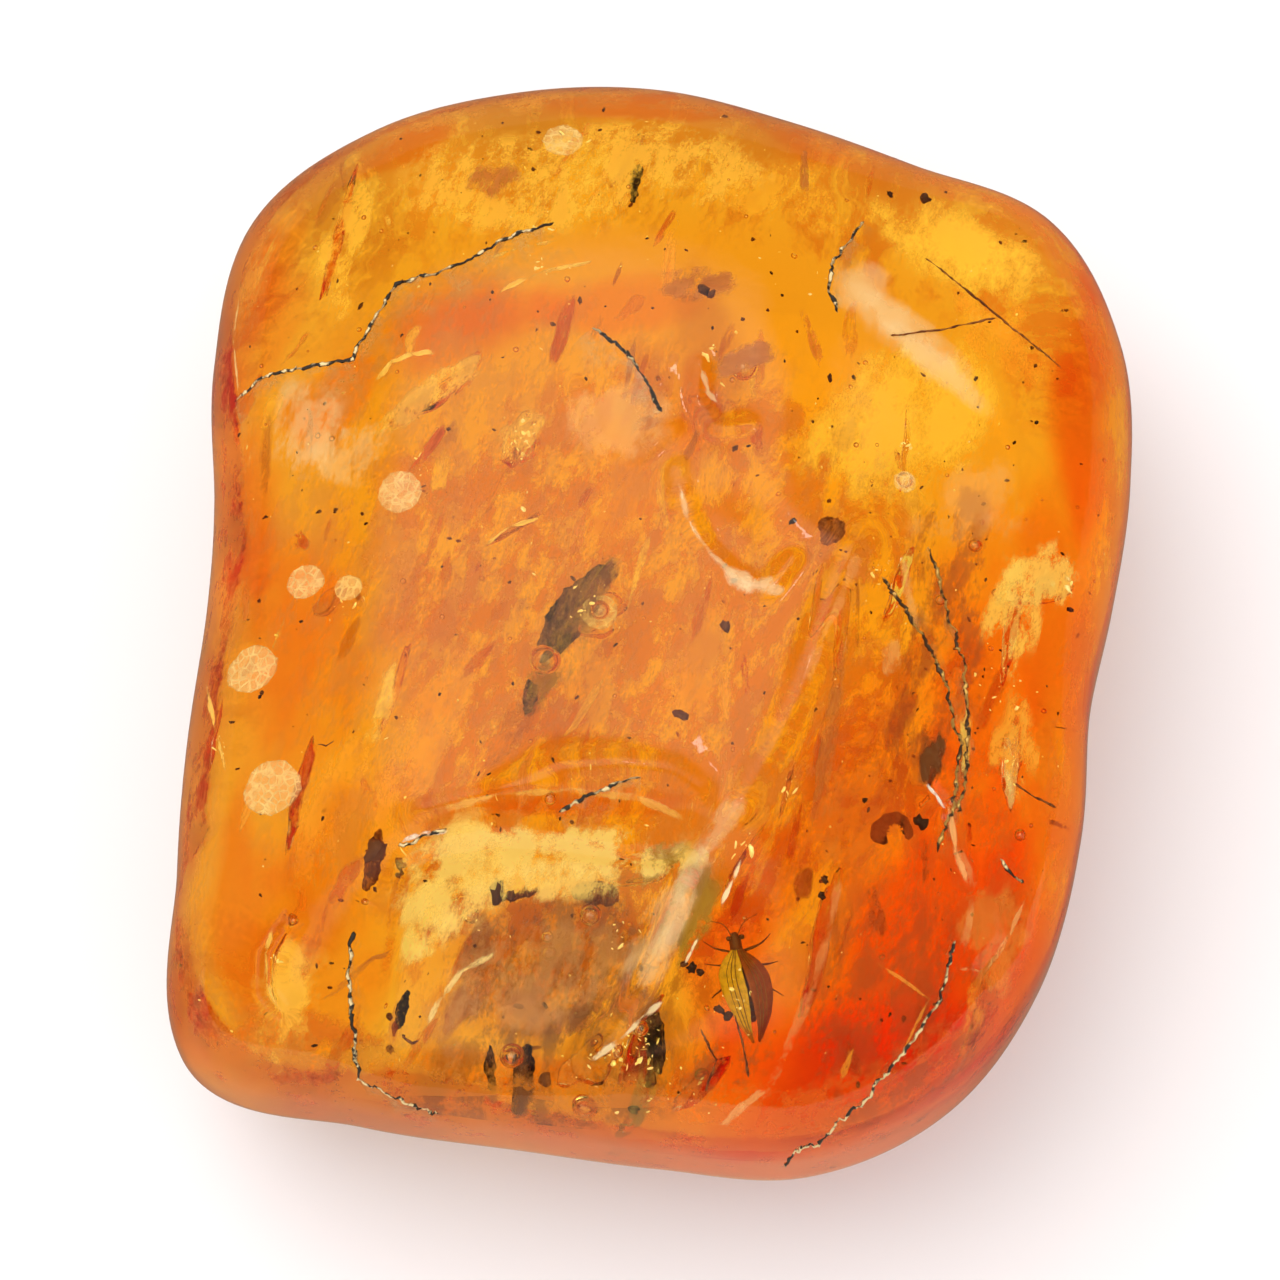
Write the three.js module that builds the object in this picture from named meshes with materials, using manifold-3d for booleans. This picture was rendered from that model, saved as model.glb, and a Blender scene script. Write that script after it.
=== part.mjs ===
// A polished amber nugget lying on its worn-flat underside. A folded-wing insect, a curled larva
// and scraps of bark and plant lie inside it, all on the flow layer where the resin caught them.
// Millimetres, +Z up. The origin is under the middle of the nugget, on the surface it rests on.
import * as THREE from 'three';
import { mergeVertices } from 'three/addons/utils/BufferGeometryUtils.js';
import Module from 'manifold-3d';

const wasm = await Module();
wasm.setup();

// The nugget's outline seen from above: one radius every 15 degrees, anticlockwise from +X
const PLAN_RADII = [
  20.4, 22.1, 24.4, 25.7, 24.2, 24.1, 25.0, 25.8, 26.6, 26.4, 23.4, 20.8,
  20.3, 21.7, 24.6, 29.2, 26.5, 24.8, 24.8, 26.0, 25.7, 23.9, 21.6, 19.9,
];
const WIDEST_LEVEL = 8.6; // height of the widest section
const CROWN_RISE = 11.0; // from the widest section up to the crown
const UNDERSIDE_DROP = 9.6; // the underside would reach this far below the widest section
const BASE_BLEND = 0.6; // the underside rounds into the flat base over this height
const SHOULDER = { mean: 0.72, swing: 0.1, turn: 0.35 }; // below 1 is squarer than an ellipse
const SHELL_DETAIL = 12; // subdivisions of the icosahedron the nugget is shaped from

// Worn forms of the polished top: the middle in plan, the half length and half width, the turn of
// the length in degrees, how far the form rises, and how sharply it ends. They fade out towards
// the widest section.
const WORN_FORMS = [
  { name: 'front window', at: [-5.2, -17.4], half: [8.6, 5.0], turn: 14, rise: -1.4, sharpness: 2.6 },
  { name: 'swell above the window', at: [-4.0, -10.4], half: [5.5, 1.8], turn: 8, rise: 0.45, sharpness: 1 },
  { name: 'middle hollow', at: [-4.8, 1.0], half: [11.0, 6.5], turn: 72, rise: -0.75, sharpness: 1.3 },
  { name: 'upper right facet', at: [11.2, 8.6], half: [9.0, 5.6], turn: 84, rise: -0.6, sharpness: 2.4 },
  { name: 'right flank', at: [13.6, -9.4], half: [9.5, 4.2], turn: 96, rise: -1.0, sharpness: 2.2 },
  { name: 'ridge beside the flank', at: [6.2, -6.0], half: [6.5, 1.5], turn: 66, rise: 0.35, sharpness: 1 },
  { name: 'upper dimple', at: [2.6, 6.6], half: [2.4, 1.9], turn: 60, rise: -0.45, sharpness: 1 },
  { name: 'lower dimple', at: [2.9, 0.2], half: [2.4, 1.9], turn: 120, rise: -0.45, sharpness: 1 },
];
const WEAR_FADE = 2.2; // the wear is full where the level passes 1 / WEAR_FADE of the crown

// The flow layer: a dome that follows the top, on which the nugget is parted
const LAYER_RISE = 6.2; // its height at the middle, above the widest section
const LAYER_SHAPE = { fullness: 6, foot: 1.5 }; // how far out it stays high, and how flat its rim is
const PARTING_GAP = 0.42; // measured upwards, about 0.3 mm across the dome's steep side
const LAYER_SIDES = 36;
const LAYER_RINGS = [0, 0.35, 0.55, 0.7, 0.81, 0.9, 0.97, 1.12]; // shares of the plan radius
const CLEAR_OF_NUGGET = 30; // the block that takes off the top reaches this high

const POCKET_CLEARANCE = 0.36; // from an inclusion to the wall of its pocket
const POCKET_SIDES = 8;

const COLORS = {
  amber: 0xe08424,
  insect: 0x8a5a1c,
  larva: 0x4a1d0c,
  bark: 0x33200f,
  plant: 0x6b5232,
  flake: 0x6e2c12,
};

function planRadius(angle) {
  const count = PLAN_RADII.length;
  const place = ((angle / (2 * Math.PI)) * count + count) % count;
  const index = Math.floor(place);
  const t = place - index;
  const [a, b, c, d] = [-1, 0, 1, 2].map((step) => PLAN_RADII[(index + step + count) % count]);
  const bend = (2 * a - 5 * b + 4 * c - d) * t ** 2 + (3 * b - a - 3 * c + d) * t ** 3;
  return 0.5 * (2 * b + (c - a) * t + bend);
}

function wornHeight(x, y) {
  let height = 0;
  for (const { at, half, turn, rise, sharpness } of WORN_FORMS) {
    const place = new THREE.Vector2(x, y).sub(new THREE.Vector2(...at));
    place.rotateAround(new THREE.Vector2(), -THREE.MathUtils.degToRad(turn));
    const distance = (place.x / half[0]) ** 2 + (place.y / half[1]) ** 2;
    height += rise * Math.exp(-(distance ** sharpness));
  }
  return height;
}

function roundOntoBase(z) {
  if (z <= -BASE_BLEND) return 0;
  if (z >= BASE_BLEND) return z;
  return (z + BASE_BLEND) ** 2 / (4 * BASE_BLEND);
}

// The nugget's surface in a direction given on the unit sphere
function surfacePoint(direction) {
  const angle = Math.atan2(direction.y, direction.x);
  const shoulder = SHOULDER.mean - SHOULDER.swing * Math.cos(angle + SHOULDER.turn);
  const reach = planRadius(angle) * Math.hypot(direction.x, direction.y) ** shoulder;
  const level = Math.sign(direction.z) * Math.abs(direction.z) ** shoulder;
  const x = reach * Math.cos(angle);
  const y = reach * Math.sin(angle);
  const wear = THREE.MathUtils.smoothstep(level * WEAR_FADE, 0, 1) * wornHeight(x, y);
  const z = WIDEST_LEVEL + level * (level > 0 ? CROWN_RISE : UNDERSIDE_DROP) + wear;
  return new THREE.Vector3(x, y, roundOntoBase(z));
}

function layerHeight(x, y) {
  const share = Math.hypot(x, y) / planRadius(Math.atan2(y, x));
  return WIDEST_LEVEL + LAYER_RISE * Math.max(0, 1 - share ** LAYER_SHAPE.fullness) ** LAYER_SHAPE.foot;
}

function onLayer([x, y]) {
  return new THREE.Vector3(x, y, layerHeight(x, y));
}

function moveVertices(geometry, move) {
  const position = geometry.attributes.position;
  const vertex = new THREE.Vector3();
  for (let i = 0; i < position.count; i += 1) {
    const moved = move(vertex.fromBufferAttribute(position, i));
    position.setXYZ(i, moved.x, moved.y, moved.z);
  }
  return geometry;
}

// A closed three.js geometry as a solid that can be joined and cut
function toSolid(geometry) {
  geometry.deleteAttribute('normal');
  geometry.deleteAttribute('uv');
  const merged = mergeVertices(geometry, 1e-5);
  const corners = [];
  for (let i = 0; i < merged.index.count; i += 3) {
    const [a, b, c] = [0, 1, 2].map((step) => merged.index.getX(i + step));
    if (a !== b && b !== c && c !== a) corners.push(a, b, c);
  }
  const vertProperties = new Float32Array(merged.attributes.position.array);
  const triVerts = new Uint32Array(corners);
  return new wasm.Manifold(new wasm.Mesh({ numProp: 3, vertProperties, triVerts }));
}

function toMesh(name, solid, material) {
  const { vertProperties, triVerts } = solid.getMesh();
  const geometry = new THREE.BufferGeometry();
  geometry.setAttribute('position', new THREE.BufferAttribute(vertProperties, 3));
  geometry.setIndex(new THREE.BufferAttribute(triVerts, 1));
  geometry.computeVertexNormals();
  const mesh = new THREE.Mesh(geometry, material);
  mesh.name = name;
  return mesh;
}

// A closed rod along a path. The rings are [share of the length, radius], and flatness squashes
// the section towards the plane across the up vector.
function rod(points, rings, { sides = 7, flatness = 1, up = new THREE.Vector3(0, 0, 1) } = {}) {
  const path = new THREE.CatmullRomCurve3(points);
  const length = path.getLength();
  const profile = rings.map(([share, radius]) => new THREE.Vector2(radius, share));
  return moveVertices(new THREE.LatheGeometry(profile, sides), (vertex) => {
    const share = THREE.MathUtils.clamp(vertex.y, 0, 1);
    const along = path.getTangentAt(share);
    const across = along.clone().cross(up).normalize();
    const outward = across.clone().cross(along);
    return path.getPointAt(share)
      .addScaledVector(along, (vertex.y - share) * length)
      .addScaledVector(across, vertex.x)
      .addScaledVector(outward, vertex.z * flatness);
  });
}

function evenRings(radii) {
  const last = radii.length - 1;
  return [[0, 0], ...radii.map((radius, index) => [index / last, radius]), [1, 0]];
}

// The pocket around a rod: the same path, wider and longer by the clearance
function pocket(points, radius, thickness) {
  const past = POCKET_CLEARANCE / new THREE.CatmullRomCurve3(points).getLength();
  const wide = (radius + POCKET_CLEARANCE) / Math.cos(Math.PI / POCKET_SIDES);
  const thick = (thickness + POCKET_CLEARANCE) / Math.cos(Math.PI / POCKET_SIDES);
  const rings = [[-past, 0], [-past, wide], [0.33, wide], [0.67, wide], [1 + past, wide], [1 + past, 0]];
  return toSolid(rod(points, rings, { sides: POCKET_SIDES, flatness: thick / wide }));
}

// The insect, in its own frame: +Y towards the head, +Z up, the origin at the middle of the body
const BODY_RADII = [0.12, 0.33, 0.34, 0.2, 0.42, 0.5, 0.4, 0.42, 0.44, 0.38, 0.26, 0.08];
const BODY_PATH = [[0, 1.9, 0], [0, 0.6, 0.05], [0, -0.6, 0.02], [0, -1.6, -0.1]];
const BODY_SIDES = 8;
const BODY_FLATNESS = 0.85;
const WING_RADII = [0.12, 0.44, 0.62, 0.62, 0.46, 0.24, 0.05];
const WING_PATH = [[0.12, 0.95, 0.18], [0.66, 0.0, 0.4], [0.58, -1.3, 0.28], [0.18, -2.3, 0.1]];
const WING_FLATNESS = 0.16;
const WING_ROOF = 0.55; // how far the wings slope down to the sides, as a roof
const LEG_ROOTS = [0.95, 0.45, -0.05]; // along the body
const LEG_REACH = [0.7, 0.1, -0.75]; // how far each foot lies ahead of its root
const ANTENNA_PATH = [[0.05, 1.6, 0.02], [0.4, 2.3, 0.22], [0.95, 2.6, 0.1]];
const INSECT_PLACE = { x: 3.9, y: -17.9, heading: 8, pitch: 19 };
const INSECT_POCKET = { front: 2.5, back: -2.1, radius: 1.55, thickness: 0.95 };

const WING_SIDES = 8;
const LIMB_SIDES = 4;
const LEG_RADII = [0.11, 0.1, 0.08, 0.05];
const ANTENNA_RADII = [0.07, 0.06, 0.05, 0.03];

function insectPlace() {
  const { x, y, heading, pitch } = INSECT_PLACE;
  const [turn, nod] = [heading, pitch].map(THREE.MathUtils.degToRad);
  const place = new THREE.Matrix4().makeRotationFromEuler(new THREE.Euler(nod, 0, turn, 'ZYX'));
  return place.setPosition(onLayer([x, y]));
}

function legPath(pair) {
  const root = LEG_ROOTS[pair];
  const foot = root + LEG_REACH[pair];
  return [[0.06, root, -0.06], [0.85, (root + foot) / 2, 0.02], [1.3, foot, -0.5]];
}

// One limb or wing on each side of the body
function pairOfRods(points, radii, options) {
  return [-1, 1].map((side) => {
    const path = points.map(([x, y, z]) => new THREE.Vector3(x * side, y, z));
    const up = new THREE.Vector3(side * (options.roof ?? 0), 0, 1);
    return rod(path, evenRings(radii), { ...options, up });
  });
}

function insectSolid() {
  const body = BODY_PATH.map((point) => new THREE.Vector3(...point));
  const pieces = [
    rod(body, evenRings(BODY_RADII), { sides: BODY_SIDES, flatness: BODY_FLATNESS }),
    ...pairOfRods(WING_PATH, WING_RADII, { sides: WING_SIDES, flatness: WING_FLATNESS, roof: WING_ROOF }),
    ...pairOfRods(ANTENNA_PATH, ANTENNA_RADII, { sides: LIMB_SIDES }),
    ...LEG_ROOTS.flatMap((_, pair) => pairOfRods(legPath(pair), LEG_RADII, { sides: LIMB_SIDES })),
  ];
  const solids = pieces.map((piece) => toSolid(piece.applyMatrix4(insectPlace())));
  return solids.reduce((all, piece) => all.add(piece));
}

function insectPocket() {
  const { front, back, radius, thickness } = INSECT_POCKET;
  const ends = [front, back].map((y) => new THREE.Vector3(0, y, 0).applyMatrix4(insectPlace()));
  return pocket(ends, radius, thickness);
}

// The larva lies on its side in a C, and its pocket is a drum that clears the whole ring
const LARVA = { x: 9.9, y: -11.4, radius: 0.62, from: -30, to: 235, steps: 8, sides: 8 };
const LARVA_RADII = [0.08, 0.2, 0.24, 0.19, 0.25, 0.2, 0.26, 0.2, 0.26, 0.2, 0.25, 0.19, 0.22, 0.16, 0.07];

function larvaSolid() {
  const { x, y, radius, from, to, steps, sides } = LARVA;
  const path = Array.from({ length: steps + 1 }, (_, step) => {
    const angle = THREE.MathUtils.degToRad(from + ((to - from) * step) / steps);
    return onLayer([x + radius * Math.cos(angle), y + radius * Math.sin(angle)]);
  });
  return toSolid(rod(path, evenRings(LARVA_RADII), { sides }));
}

function larvaPocket() {
  const thickest = Math.max(...LARVA_RADII);
  const reach = LARVA.radius + thickest;
  const ends = [-reach, reach].map((step) => onLayer([LARVA.x + step, LARVA.y]));
  return pocket(ends, reach, thickest);
}

// Scraps of bark and plant: a path in plan, ring radii along it, and how flat the scrap is
const SCRAPS = [
  {
    name: 'bark_upright', color: 'bark', flatness: 0.6,
    path: [[-5.5, -20.2], [-5.6, -21.0], [-5.9, -21.9]], radii: [0.28, 0.5, 0.42, 0.24],
  },
  {
    name: 'bark_splinter', color: 'bark', flatness: 0.7,
    path: [[-7.2, -20.1], [-7.2, -20.8], [-7.0, -21.4]], radii: [0.12, 0.26, 0.16],
  },
  {
    name: 'bark_clump', color: 'bark', flatness: 0.65,
    path: [[-0.1, -19.4], [0.1, -20.1], [0.1, -20.9]], radii: [0.36, 0.68, 0.6, 0.3],
  },
  {
    name: 'sprig', color: 'plant', flatness: 0.7,
    path: [[-0.6, -21.9], [-1.0, -22.4], [-1.6, -22.9]], radii: [0.16, 0.3, 0.28, 0.12],
  },
  {
    name: 'plant_shred', color: 'plant', flatness: 0.28,
    path: [[-2.2, 0.0], [-3.3, -1.3], [-4.2, -3.2], [-5.3, -4.6]], radii: [0.14, 0.5, 0.95, 1.05, 0.6, 0.15],
  },
  {
    name: 'shred_tail', color: 'plant', flatness: 0.5,
    path: [[-5.6, -5.3], [-5.4, -6.2], [-5.7, -7.0]], radii: [0.14, 0.36, 0.34, 0.12],
  },
  {
    name: 'twig', color: 'bark', flatness: 0.8,
    path: [[-0.8, 19.1], [-1.0, 18.2], [-1.1, 17.1]], radii: [0.1, 0.24, 0.28, 0.24, 0.12],
  },
  {
    name: 'brown_flake', color: 'flake', flatness: 0.3,
    path: [[6.9, 1.9], [7.5, 1.4], [8.2, 0.8]], radii: [0.2, 0.52, 0.56, 0.24],
  },
  {
    name: 'stalk', color: 'bark', flatness: 0.8,
    path: [[-10.8, -18.1], [-11.1, -18.9], [-11.5, -19.7]], radii: [0.18, 0.3, 0.26, 0.14],
  },
  {
    name: 'dark_seed', color: 'larva', flatness: 0.7,
    path: [[11.8, -7.7], [11.5, -8.7], [11.1, -9.6]], radii: [0.24, 0.46, 0.42, 0.2],
  },
  {
    name: 'leaf_scrap', color: 'flake', flatness: 0.35,
    path: [[-7.1, -14.4], [-6.1, -14.1], [-5.1, -14.1]], radii: [0.2, 0.5, 0.46, 0.16],
  },
  {
    name: 'leaf_flake', color: 'flake', flatness: 0.3,
    path: [[-3.6, -14.3], [-2.7, -14.2], [-1.6, -14.5]], radii: [0.3, 0.66, 0.6, 0.26],
  },
  {
    name: 'fibre_bundle', color: 'flake', flatness: 0.5,
    path: [[-11.8, -11.6], [-12.2, -12.6], [-12.8, -13.8]], radii: [0.14, 0.32, 0.34, 0.12],
  },
];

function scrapSolid(scrap) {
  return toSolid(rod(scrap.path.map(onLayer), evenRings(scrap.radii), { flatness: scrap.flatness }));
}

function scrapPocket(scrap) {
  const widest = Math.max(...scrap.radii);
  return pocket(scrap.path.map(onLayer), widest, widest * scrap.flatness);
}

// The block over the flow layer, raised or lowered by half of the parting gap
function blockOverLayer(lift) {
  const outermost = LAYER_RINGS.at(-1);
  const profile = [...LAYER_RINGS.map((share) => new THREE.Vector2(share, 0)),
    new THREE.Vector2(outermost, 1), new THREE.Vector2(0, 1)];
  return toSolid(moveVertices(new THREE.LatheGeometry(profile, LAYER_SIDES), (vertex) => {
    const angle = Math.atan2(-vertex.z, vertex.x);
    const reach = Math.hypot(vertex.x, vertex.z) * planRadius(angle);
    const x = reach * Math.cos(angle);
    const y = reach * Math.sin(angle);
    return new THREE.Vector3(x, y, vertex.y > 0.5 ? CLEAR_OF_NUGGET : layerHeight(x, y) + lift);
  }));
}

function nuggetSolid() {
  return toSolid(moveVertices(new THREE.IcosahedronGeometry(1, SHELL_DETAIL), surfacePoint));
}

function paint(color, roughness, extra = {}) {
  return new THREE.MeshStandardMaterial({ color: COLORS[color], roughness, metalness: 0, ...extra });
}

const group = new THREE.Group();

const nugget = nuggetSolid();
const pockets = [insectPocket(), larvaPocket(), ...SCRAPS.map(scrapPocket)];
const hollows = pockets.reduce((all, hollow) => all.add(hollow));
const seeThrough = { transparent: true, opacity: 0.5 };
const lower = nugget.subtract(blockOverLayer(-PARTING_GAP / 2)).subtract(hollows);
const upper = nugget.intersect(blockOverLayer(PARTING_GAP / 2)).subtract(hollows);
group.add(toMesh('amber_lower', lower, paint('amber', 0.12, seeThrough)));
group.add(toMesh('amber_upper', upper, paint('amber', 0.08, seeThrough)));

group.add(toMesh('folded_wing_insect', insectSolid(), paint('insect', 0.5)));
group.add(toMesh('curled_larva', larvaSolid(), paint('larva', 0.6)));
for (const scrap of SCRAPS) {
  group.add(toMesh(scrap.name, scrapSolid(scrap), paint(scrap.color, 0.8)));
}

export default group;
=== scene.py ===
"""The looks of a polished amber nugget with small fossils sealed in it, built around its solids."""
import math

import bmesh
import bpy
import numpy as np
from mathutils import Euler, Matrix, Vector, noise


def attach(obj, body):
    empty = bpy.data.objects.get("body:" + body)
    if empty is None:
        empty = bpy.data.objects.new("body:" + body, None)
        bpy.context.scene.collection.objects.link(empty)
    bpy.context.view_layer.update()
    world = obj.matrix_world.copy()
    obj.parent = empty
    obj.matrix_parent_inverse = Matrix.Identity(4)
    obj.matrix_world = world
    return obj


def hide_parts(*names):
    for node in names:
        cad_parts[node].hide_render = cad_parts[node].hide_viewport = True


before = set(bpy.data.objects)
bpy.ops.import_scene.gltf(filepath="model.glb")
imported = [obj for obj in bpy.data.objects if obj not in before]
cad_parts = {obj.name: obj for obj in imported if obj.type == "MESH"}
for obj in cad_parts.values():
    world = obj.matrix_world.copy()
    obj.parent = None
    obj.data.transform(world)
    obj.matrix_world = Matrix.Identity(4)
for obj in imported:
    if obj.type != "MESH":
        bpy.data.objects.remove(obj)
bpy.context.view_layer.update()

bl_info = {
    "name": "Amber nugget",
    "version": (1, 0, 0),
    "blender": (4, 5, 0),
    "location": "View3D > Sidebar > Amber",
    "description": "Builds a polished amber nugget with its inclusions, and a plain stage for it",
    "category": "Add Mesh",
}

MM = 0.001
NOISE_SEED = 4  # without one, Blender's vector noise differs from run to run

# The nugget's form, as its solids have it: one plan radius every 15 degrees from +X, in millimetres
PLAN_RADII = np.array([
    20.4, 22.1, 24.4, 25.7, 24.2, 24.1, 25.0, 25.8, 26.6, 26.4, 23.4, 20.8,
    20.3, 21.7, 24.6, 29.2, 26.5, 24.8, 24.8, 26.0, 25.7, 23.9, 21.6, 19.9,
])
WIDEST_LEVEL = 8.6
CROWN_RISE = 11.0
UNDERSIDE_DROP = 9.6
BASE_BLEND = 0.6
SHOULDER_MEAN = 0.72
SHOULDER_SWING = 0.1
SHOULDER_TURN = 0.35
WEAR_FADE = 2.2

# Worn forms of the top: middle in plan, half length and half width, turn, rise and sharpness
WORN_FORMS = (
    ((-5.2, -17.4), (8.6, 5.0), 14, -1.4, 2.6),
    ((-4.0, -10.4), (5.5, 1.8), 8, 0.45, 1.0),
    ((-4.8, 1.0), (11.0, 6.5), 72, -0.75, 1.3),
    ((11.2, 8.6), (9.0, 5.6), 84, -0.6, 2.4),
    ((13.6, -9.4), (9.5, 4.2), 96, -1.0, 2.2),
    ((6.2, -6.0), (6.5, 1.5), 66, 0.35, 1.0),
    ((2.6, 6.6), (2.4, 1.9), 60, -0.45, 1.0),
    ((2.9, 0.2), (2.4, 1.9), 120, -0.45, 1.0),
)

# The camera looks down at the nugget, and places on it are given as they are seen in its picture
PICTURE = 1280
SENSOR = 36.0
LENS = 150.0
ELEVATION = math.radians(72)
AIM = Vector((-0.8, -1.0, 9.0))
PIXEL = 0.045
DISTANCE = PICTURE * PIXEL * LENS / SENSOR
LOOK = Vector((0, math.cos(ELEVATION), -math.sin(ELEVATION)))
PICTURE_UP = Vector((0, math.sin(ELEVATION), math.cos(ELEVATION)))
EYE = AIM - LOOK * DISTANCE
AMBER_IOR = 1.54


def plan_radius(angle):
    """The outline's radius at an angle, smooth through the listed radii."""
    count = len(PLAN_RADII)
    place = (np.asarray(angle) / (2 * math.pi) * count) % count
    index = np.floor(place).astype(int)
    t = place - index
    a, b, c, d = (PLAN_RADII[(index + step) % count] for step in (-1, 0, 1, 2))
    bend = (2 * a - 5 * b + 4 * c - d) * t ** 2 + (3 * b - a - 3 * c + d) * t ** 3
    return 0.5 * (2 * b + (c - a) * t + bend)


def shoulder(angle):
    return SHOULDER_MEAN - SHOULDER_SWING * np.cos(angle + SHOULDER_TURN)


def smooth_step(value):
    value = np.clip(value, 0, 1)
    return value * value * (3 - 2 * value)


def worn_height(x, y):
    """How far the polished top is worn down or swells at a place in plan."""
    height = np.zeros_like(x)
    for middle, half, turn, rise, sharpness in WORN_FORMS:
        turn = math.radians(turn)
        along = ((x - middle[0]) * math.cos(turn) + (y - middle[1]) * math.sin(turn)) / half[0]
        across = ((y - middle[1]) * math.cos(turn) - (x - middle[0]) * math.sin(turn)) / half[1]
        height += rise * np.exp(-(along ** 2 + across ** 2) ** sharpness)
    return height


def nugget_points(directions):
    """The nugget's surface, in millimetres, for directions on the unit sphere."""
    angle = np.arctan2(directions[:, 1], directions[:, 0])
    power = shoulder(angle)
    reach = plan_radius(angle) * np.hypot(directions[:, 0], directions[:, 1]) ** power
    level = np.sign(directions[:, 2]) * np.abs(directions[:, 2]) ** power
    x = reach * np.cos(angle)
    y = reach * np.sin(angle)
    z = WIDEST_LEVEL + level * np.where(level > 0, CROWN_RISE, UNDERSIDE_DROP)
    z += smooth_step(level * WEAR_FADE) * worn_height(x, y)
    blended = (z + BASE_BLEND) ** 2 / (4 * BASE_BLEND)
    z = np.where(z <= -BASE_BLEND, 0, np.where(z < BASE_BLEND, blended, z))
    return np.stack([x, y, z], axis=1)


def plan_grid():
    """Places in plan, one every GRID_STEP millimetres."""
    across = np.arange(-GRID_REACH, GRID_REACH + GRID_STEP / 2, GRID_STEP)
    return np.meshgrid(across, across, indexing="ij")


def top_grid(x, y):
    """The height of the polished top over places in plan, or the widest level outside of it."""
    angle = np.arctan2(y, x)
    share = np.minimum(np.hypot(x, y) / plan_radius(angle), 1.0)
    power = shoulder(angle)
    level = np.sqrt(1 - share ** (2 / power)) ** power
    return WIDEST_LEVEL + CROWN_RISE * level + smooth_step(level * WEAR_FADE) * worn_height(x, y)


def read_grid(grid, x, y):
    """A grid's value at one place in plan, smooth between its points."""
    along = min(max((x + GRID_REACH) / GRID_STEP, 0), GRID_COUNT - 1.001)
    across = min(max((y + GRID_REACH) / GRID_STEP, 0), GRID_COUNT - 1.001)
    i, j = int(along), int(across)
    u, v = along - i, across - j
    near = grid[i, j] * (1 - v) + grid[i, j + 1] * v
    far = grid[i + 1, j] * (1 - v) + grid[i + 1, j + 1] * v
    return float(near * (1 - u) + far * u)


GRID_STEP = 0.1
GRID_REACH = 30.0
GRID_COUNT = int(2 * GRID_REACH / GRID_STEP) + 1
BASE_GRID = top_grid(*plan_grid())
TOP_GRID = BASE_GRID.copy()


def base_height(x, y):
    return read_grid(BASE_GRID, x, y)


def top_height(x, y):
    return read_grid(TOP_GRID, x, y)


def top_normal(x, y, step=0.3):
    """The way the worn form faces at a place in plan, without its finest relief."""
    slope_x = (base_height(x + step, y) - base_height(x - step, y)) / (2 * step)
    slope_y = (base_height(x, y + step) - base_height(x, y - step)) / (2 * step)
    return Vector((-slope_x, -slope_y, 1)).normalized()


def sight_line(pixel):
    """The direction in which a pixel of the camera's picture looks."""
    reach = PICTURE * LENS / SENSOR
    aside = Vector(((pixel[0] - PICTURE / 2) / reach, 0, 0))
    return (LOOK + aside - PICTURE_UP * ((pixel[1] - PICTURE / 2) / reach)).normalized()


def on_top(pixel):
    """The point of the polished top that is seen at a pixel, in millimetres."""
    line = sight_line(pixel)
    point = EYE + line * ((21.0 - EYE.z) / line.z)
    step = 0.4
    for _ in range(90):
        ahead = point + line * step
        if ahead.z <= base_height(ahead.x, ahead.y):
            step *= 0.5
        else:
            point = ahead
    return point


def sunk(pixel, depth):
    """The point that is seen at a pixel through the top, a depth in millimetres below it."""
    line = sight_line(pixel)
    point = on_top(pixel)
    normal = top_normal(point.x, point.y)
    facing = -line.dot(normal)
    ratio = 1 / AMBER_IOR
    bent = line * ratio + normal * (ratio * facing - math.sqrt(1 - ratio ** 2 * (1 - facing ** 2)))
    return point + bent * (depth / -bent.z)


# Fine relief of the polish: pixels along each line, its half width and its rise in millimetres
RELIEF_LINES = {
    "window_lip": (((420, 812), (470, 800), (540, 792), (610, 796), (660, 806), (700, 812)), 0.55, 0.20),
    "lip_brow": (((505, 790), (560, 766), (620, 764), (670, 772), (700, 790)), 0.7, 0.25),
    "window_crest": (((732, 812), (700, 850), (682, 890), (662, 940), (640, 992), (600, 1046)), 0.45, 0.22),
    "right_ridge": (((862, 538), (838, 580), (818, 640), (804, 690), (780, 740), (742, 806)), 0.8, 0.22),
    "dimple_rim": (((676, 470), (682, 505), (702, 545), (735, 580), (768, 590), (792, 560)), 0.45, 0.20),
    "upper_rim": (((700, 365), (698, 400), (716, 428), (748, 425)), 0.4, 0.16),
    "facet_edge": (((770, 500), (800, 520), (850, 548), (900, 520), (930, 495)), 0.6, 0.06),
    "haze_edge": (((930, 520), (985, 528), (1025, 500), (1030, 462)), 0.35, 0.05),
    "crescent": (((286, 930), (270, 955), (270, 990), (282, 1008)), 0.35, -0.35),
    "pit": (((290, 917), (297, 920)), 0.22, -0.25),
    "small_pit": (((363, 901), (367, 902)), 0.16, -0.15),
    "chip": (((930, 786), (943, 804)), 0.3, -0.3),
    "pale_ridge": (((950, 812), (955, 850), (968, 884)), 0.3, 0.2),
    "front_chip": (((450, 1114), (464, 1122)), 0.35, -0.3),
    "rough_patch": (((968, 892), (1000, 900), (1010, 940), (985, 968)), 0.5, -0.25),
    "frosty_edge": (((578, 385), (600, 440), (640, 455), (672, 430)), 0.4, 0.10),
}
WINDOW_EDGE = (
    (397, 850), (440, 832), (500, 822), (560, 828), (620, 838), (668, 838), (726, 814), (690, 884),
    (655, 960), (600, 1060), (520, 1084), (420, 1092), (366, 1080), (376, 960),
)
WINDOW_DROP = 0.75
WINDOW_SLOPE = 0.9
WINDOW_FADE = (-16.0, -21.5)  # the drop is full above the first level in plan and gone below the second


def line_distance(x, y, start, end):
    """How far places in plan lie from a straight line between two points."""
    reach = end - start
    share = np.clip(((x - start.x) * reach.x + (y - start.y) * reach.y) / (reach.x ** 2 + reach.y ** 2), 0, 1)
    return np.hypot(x - start.x - share * reach.x, y - start.y - share * reach.y)


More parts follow.
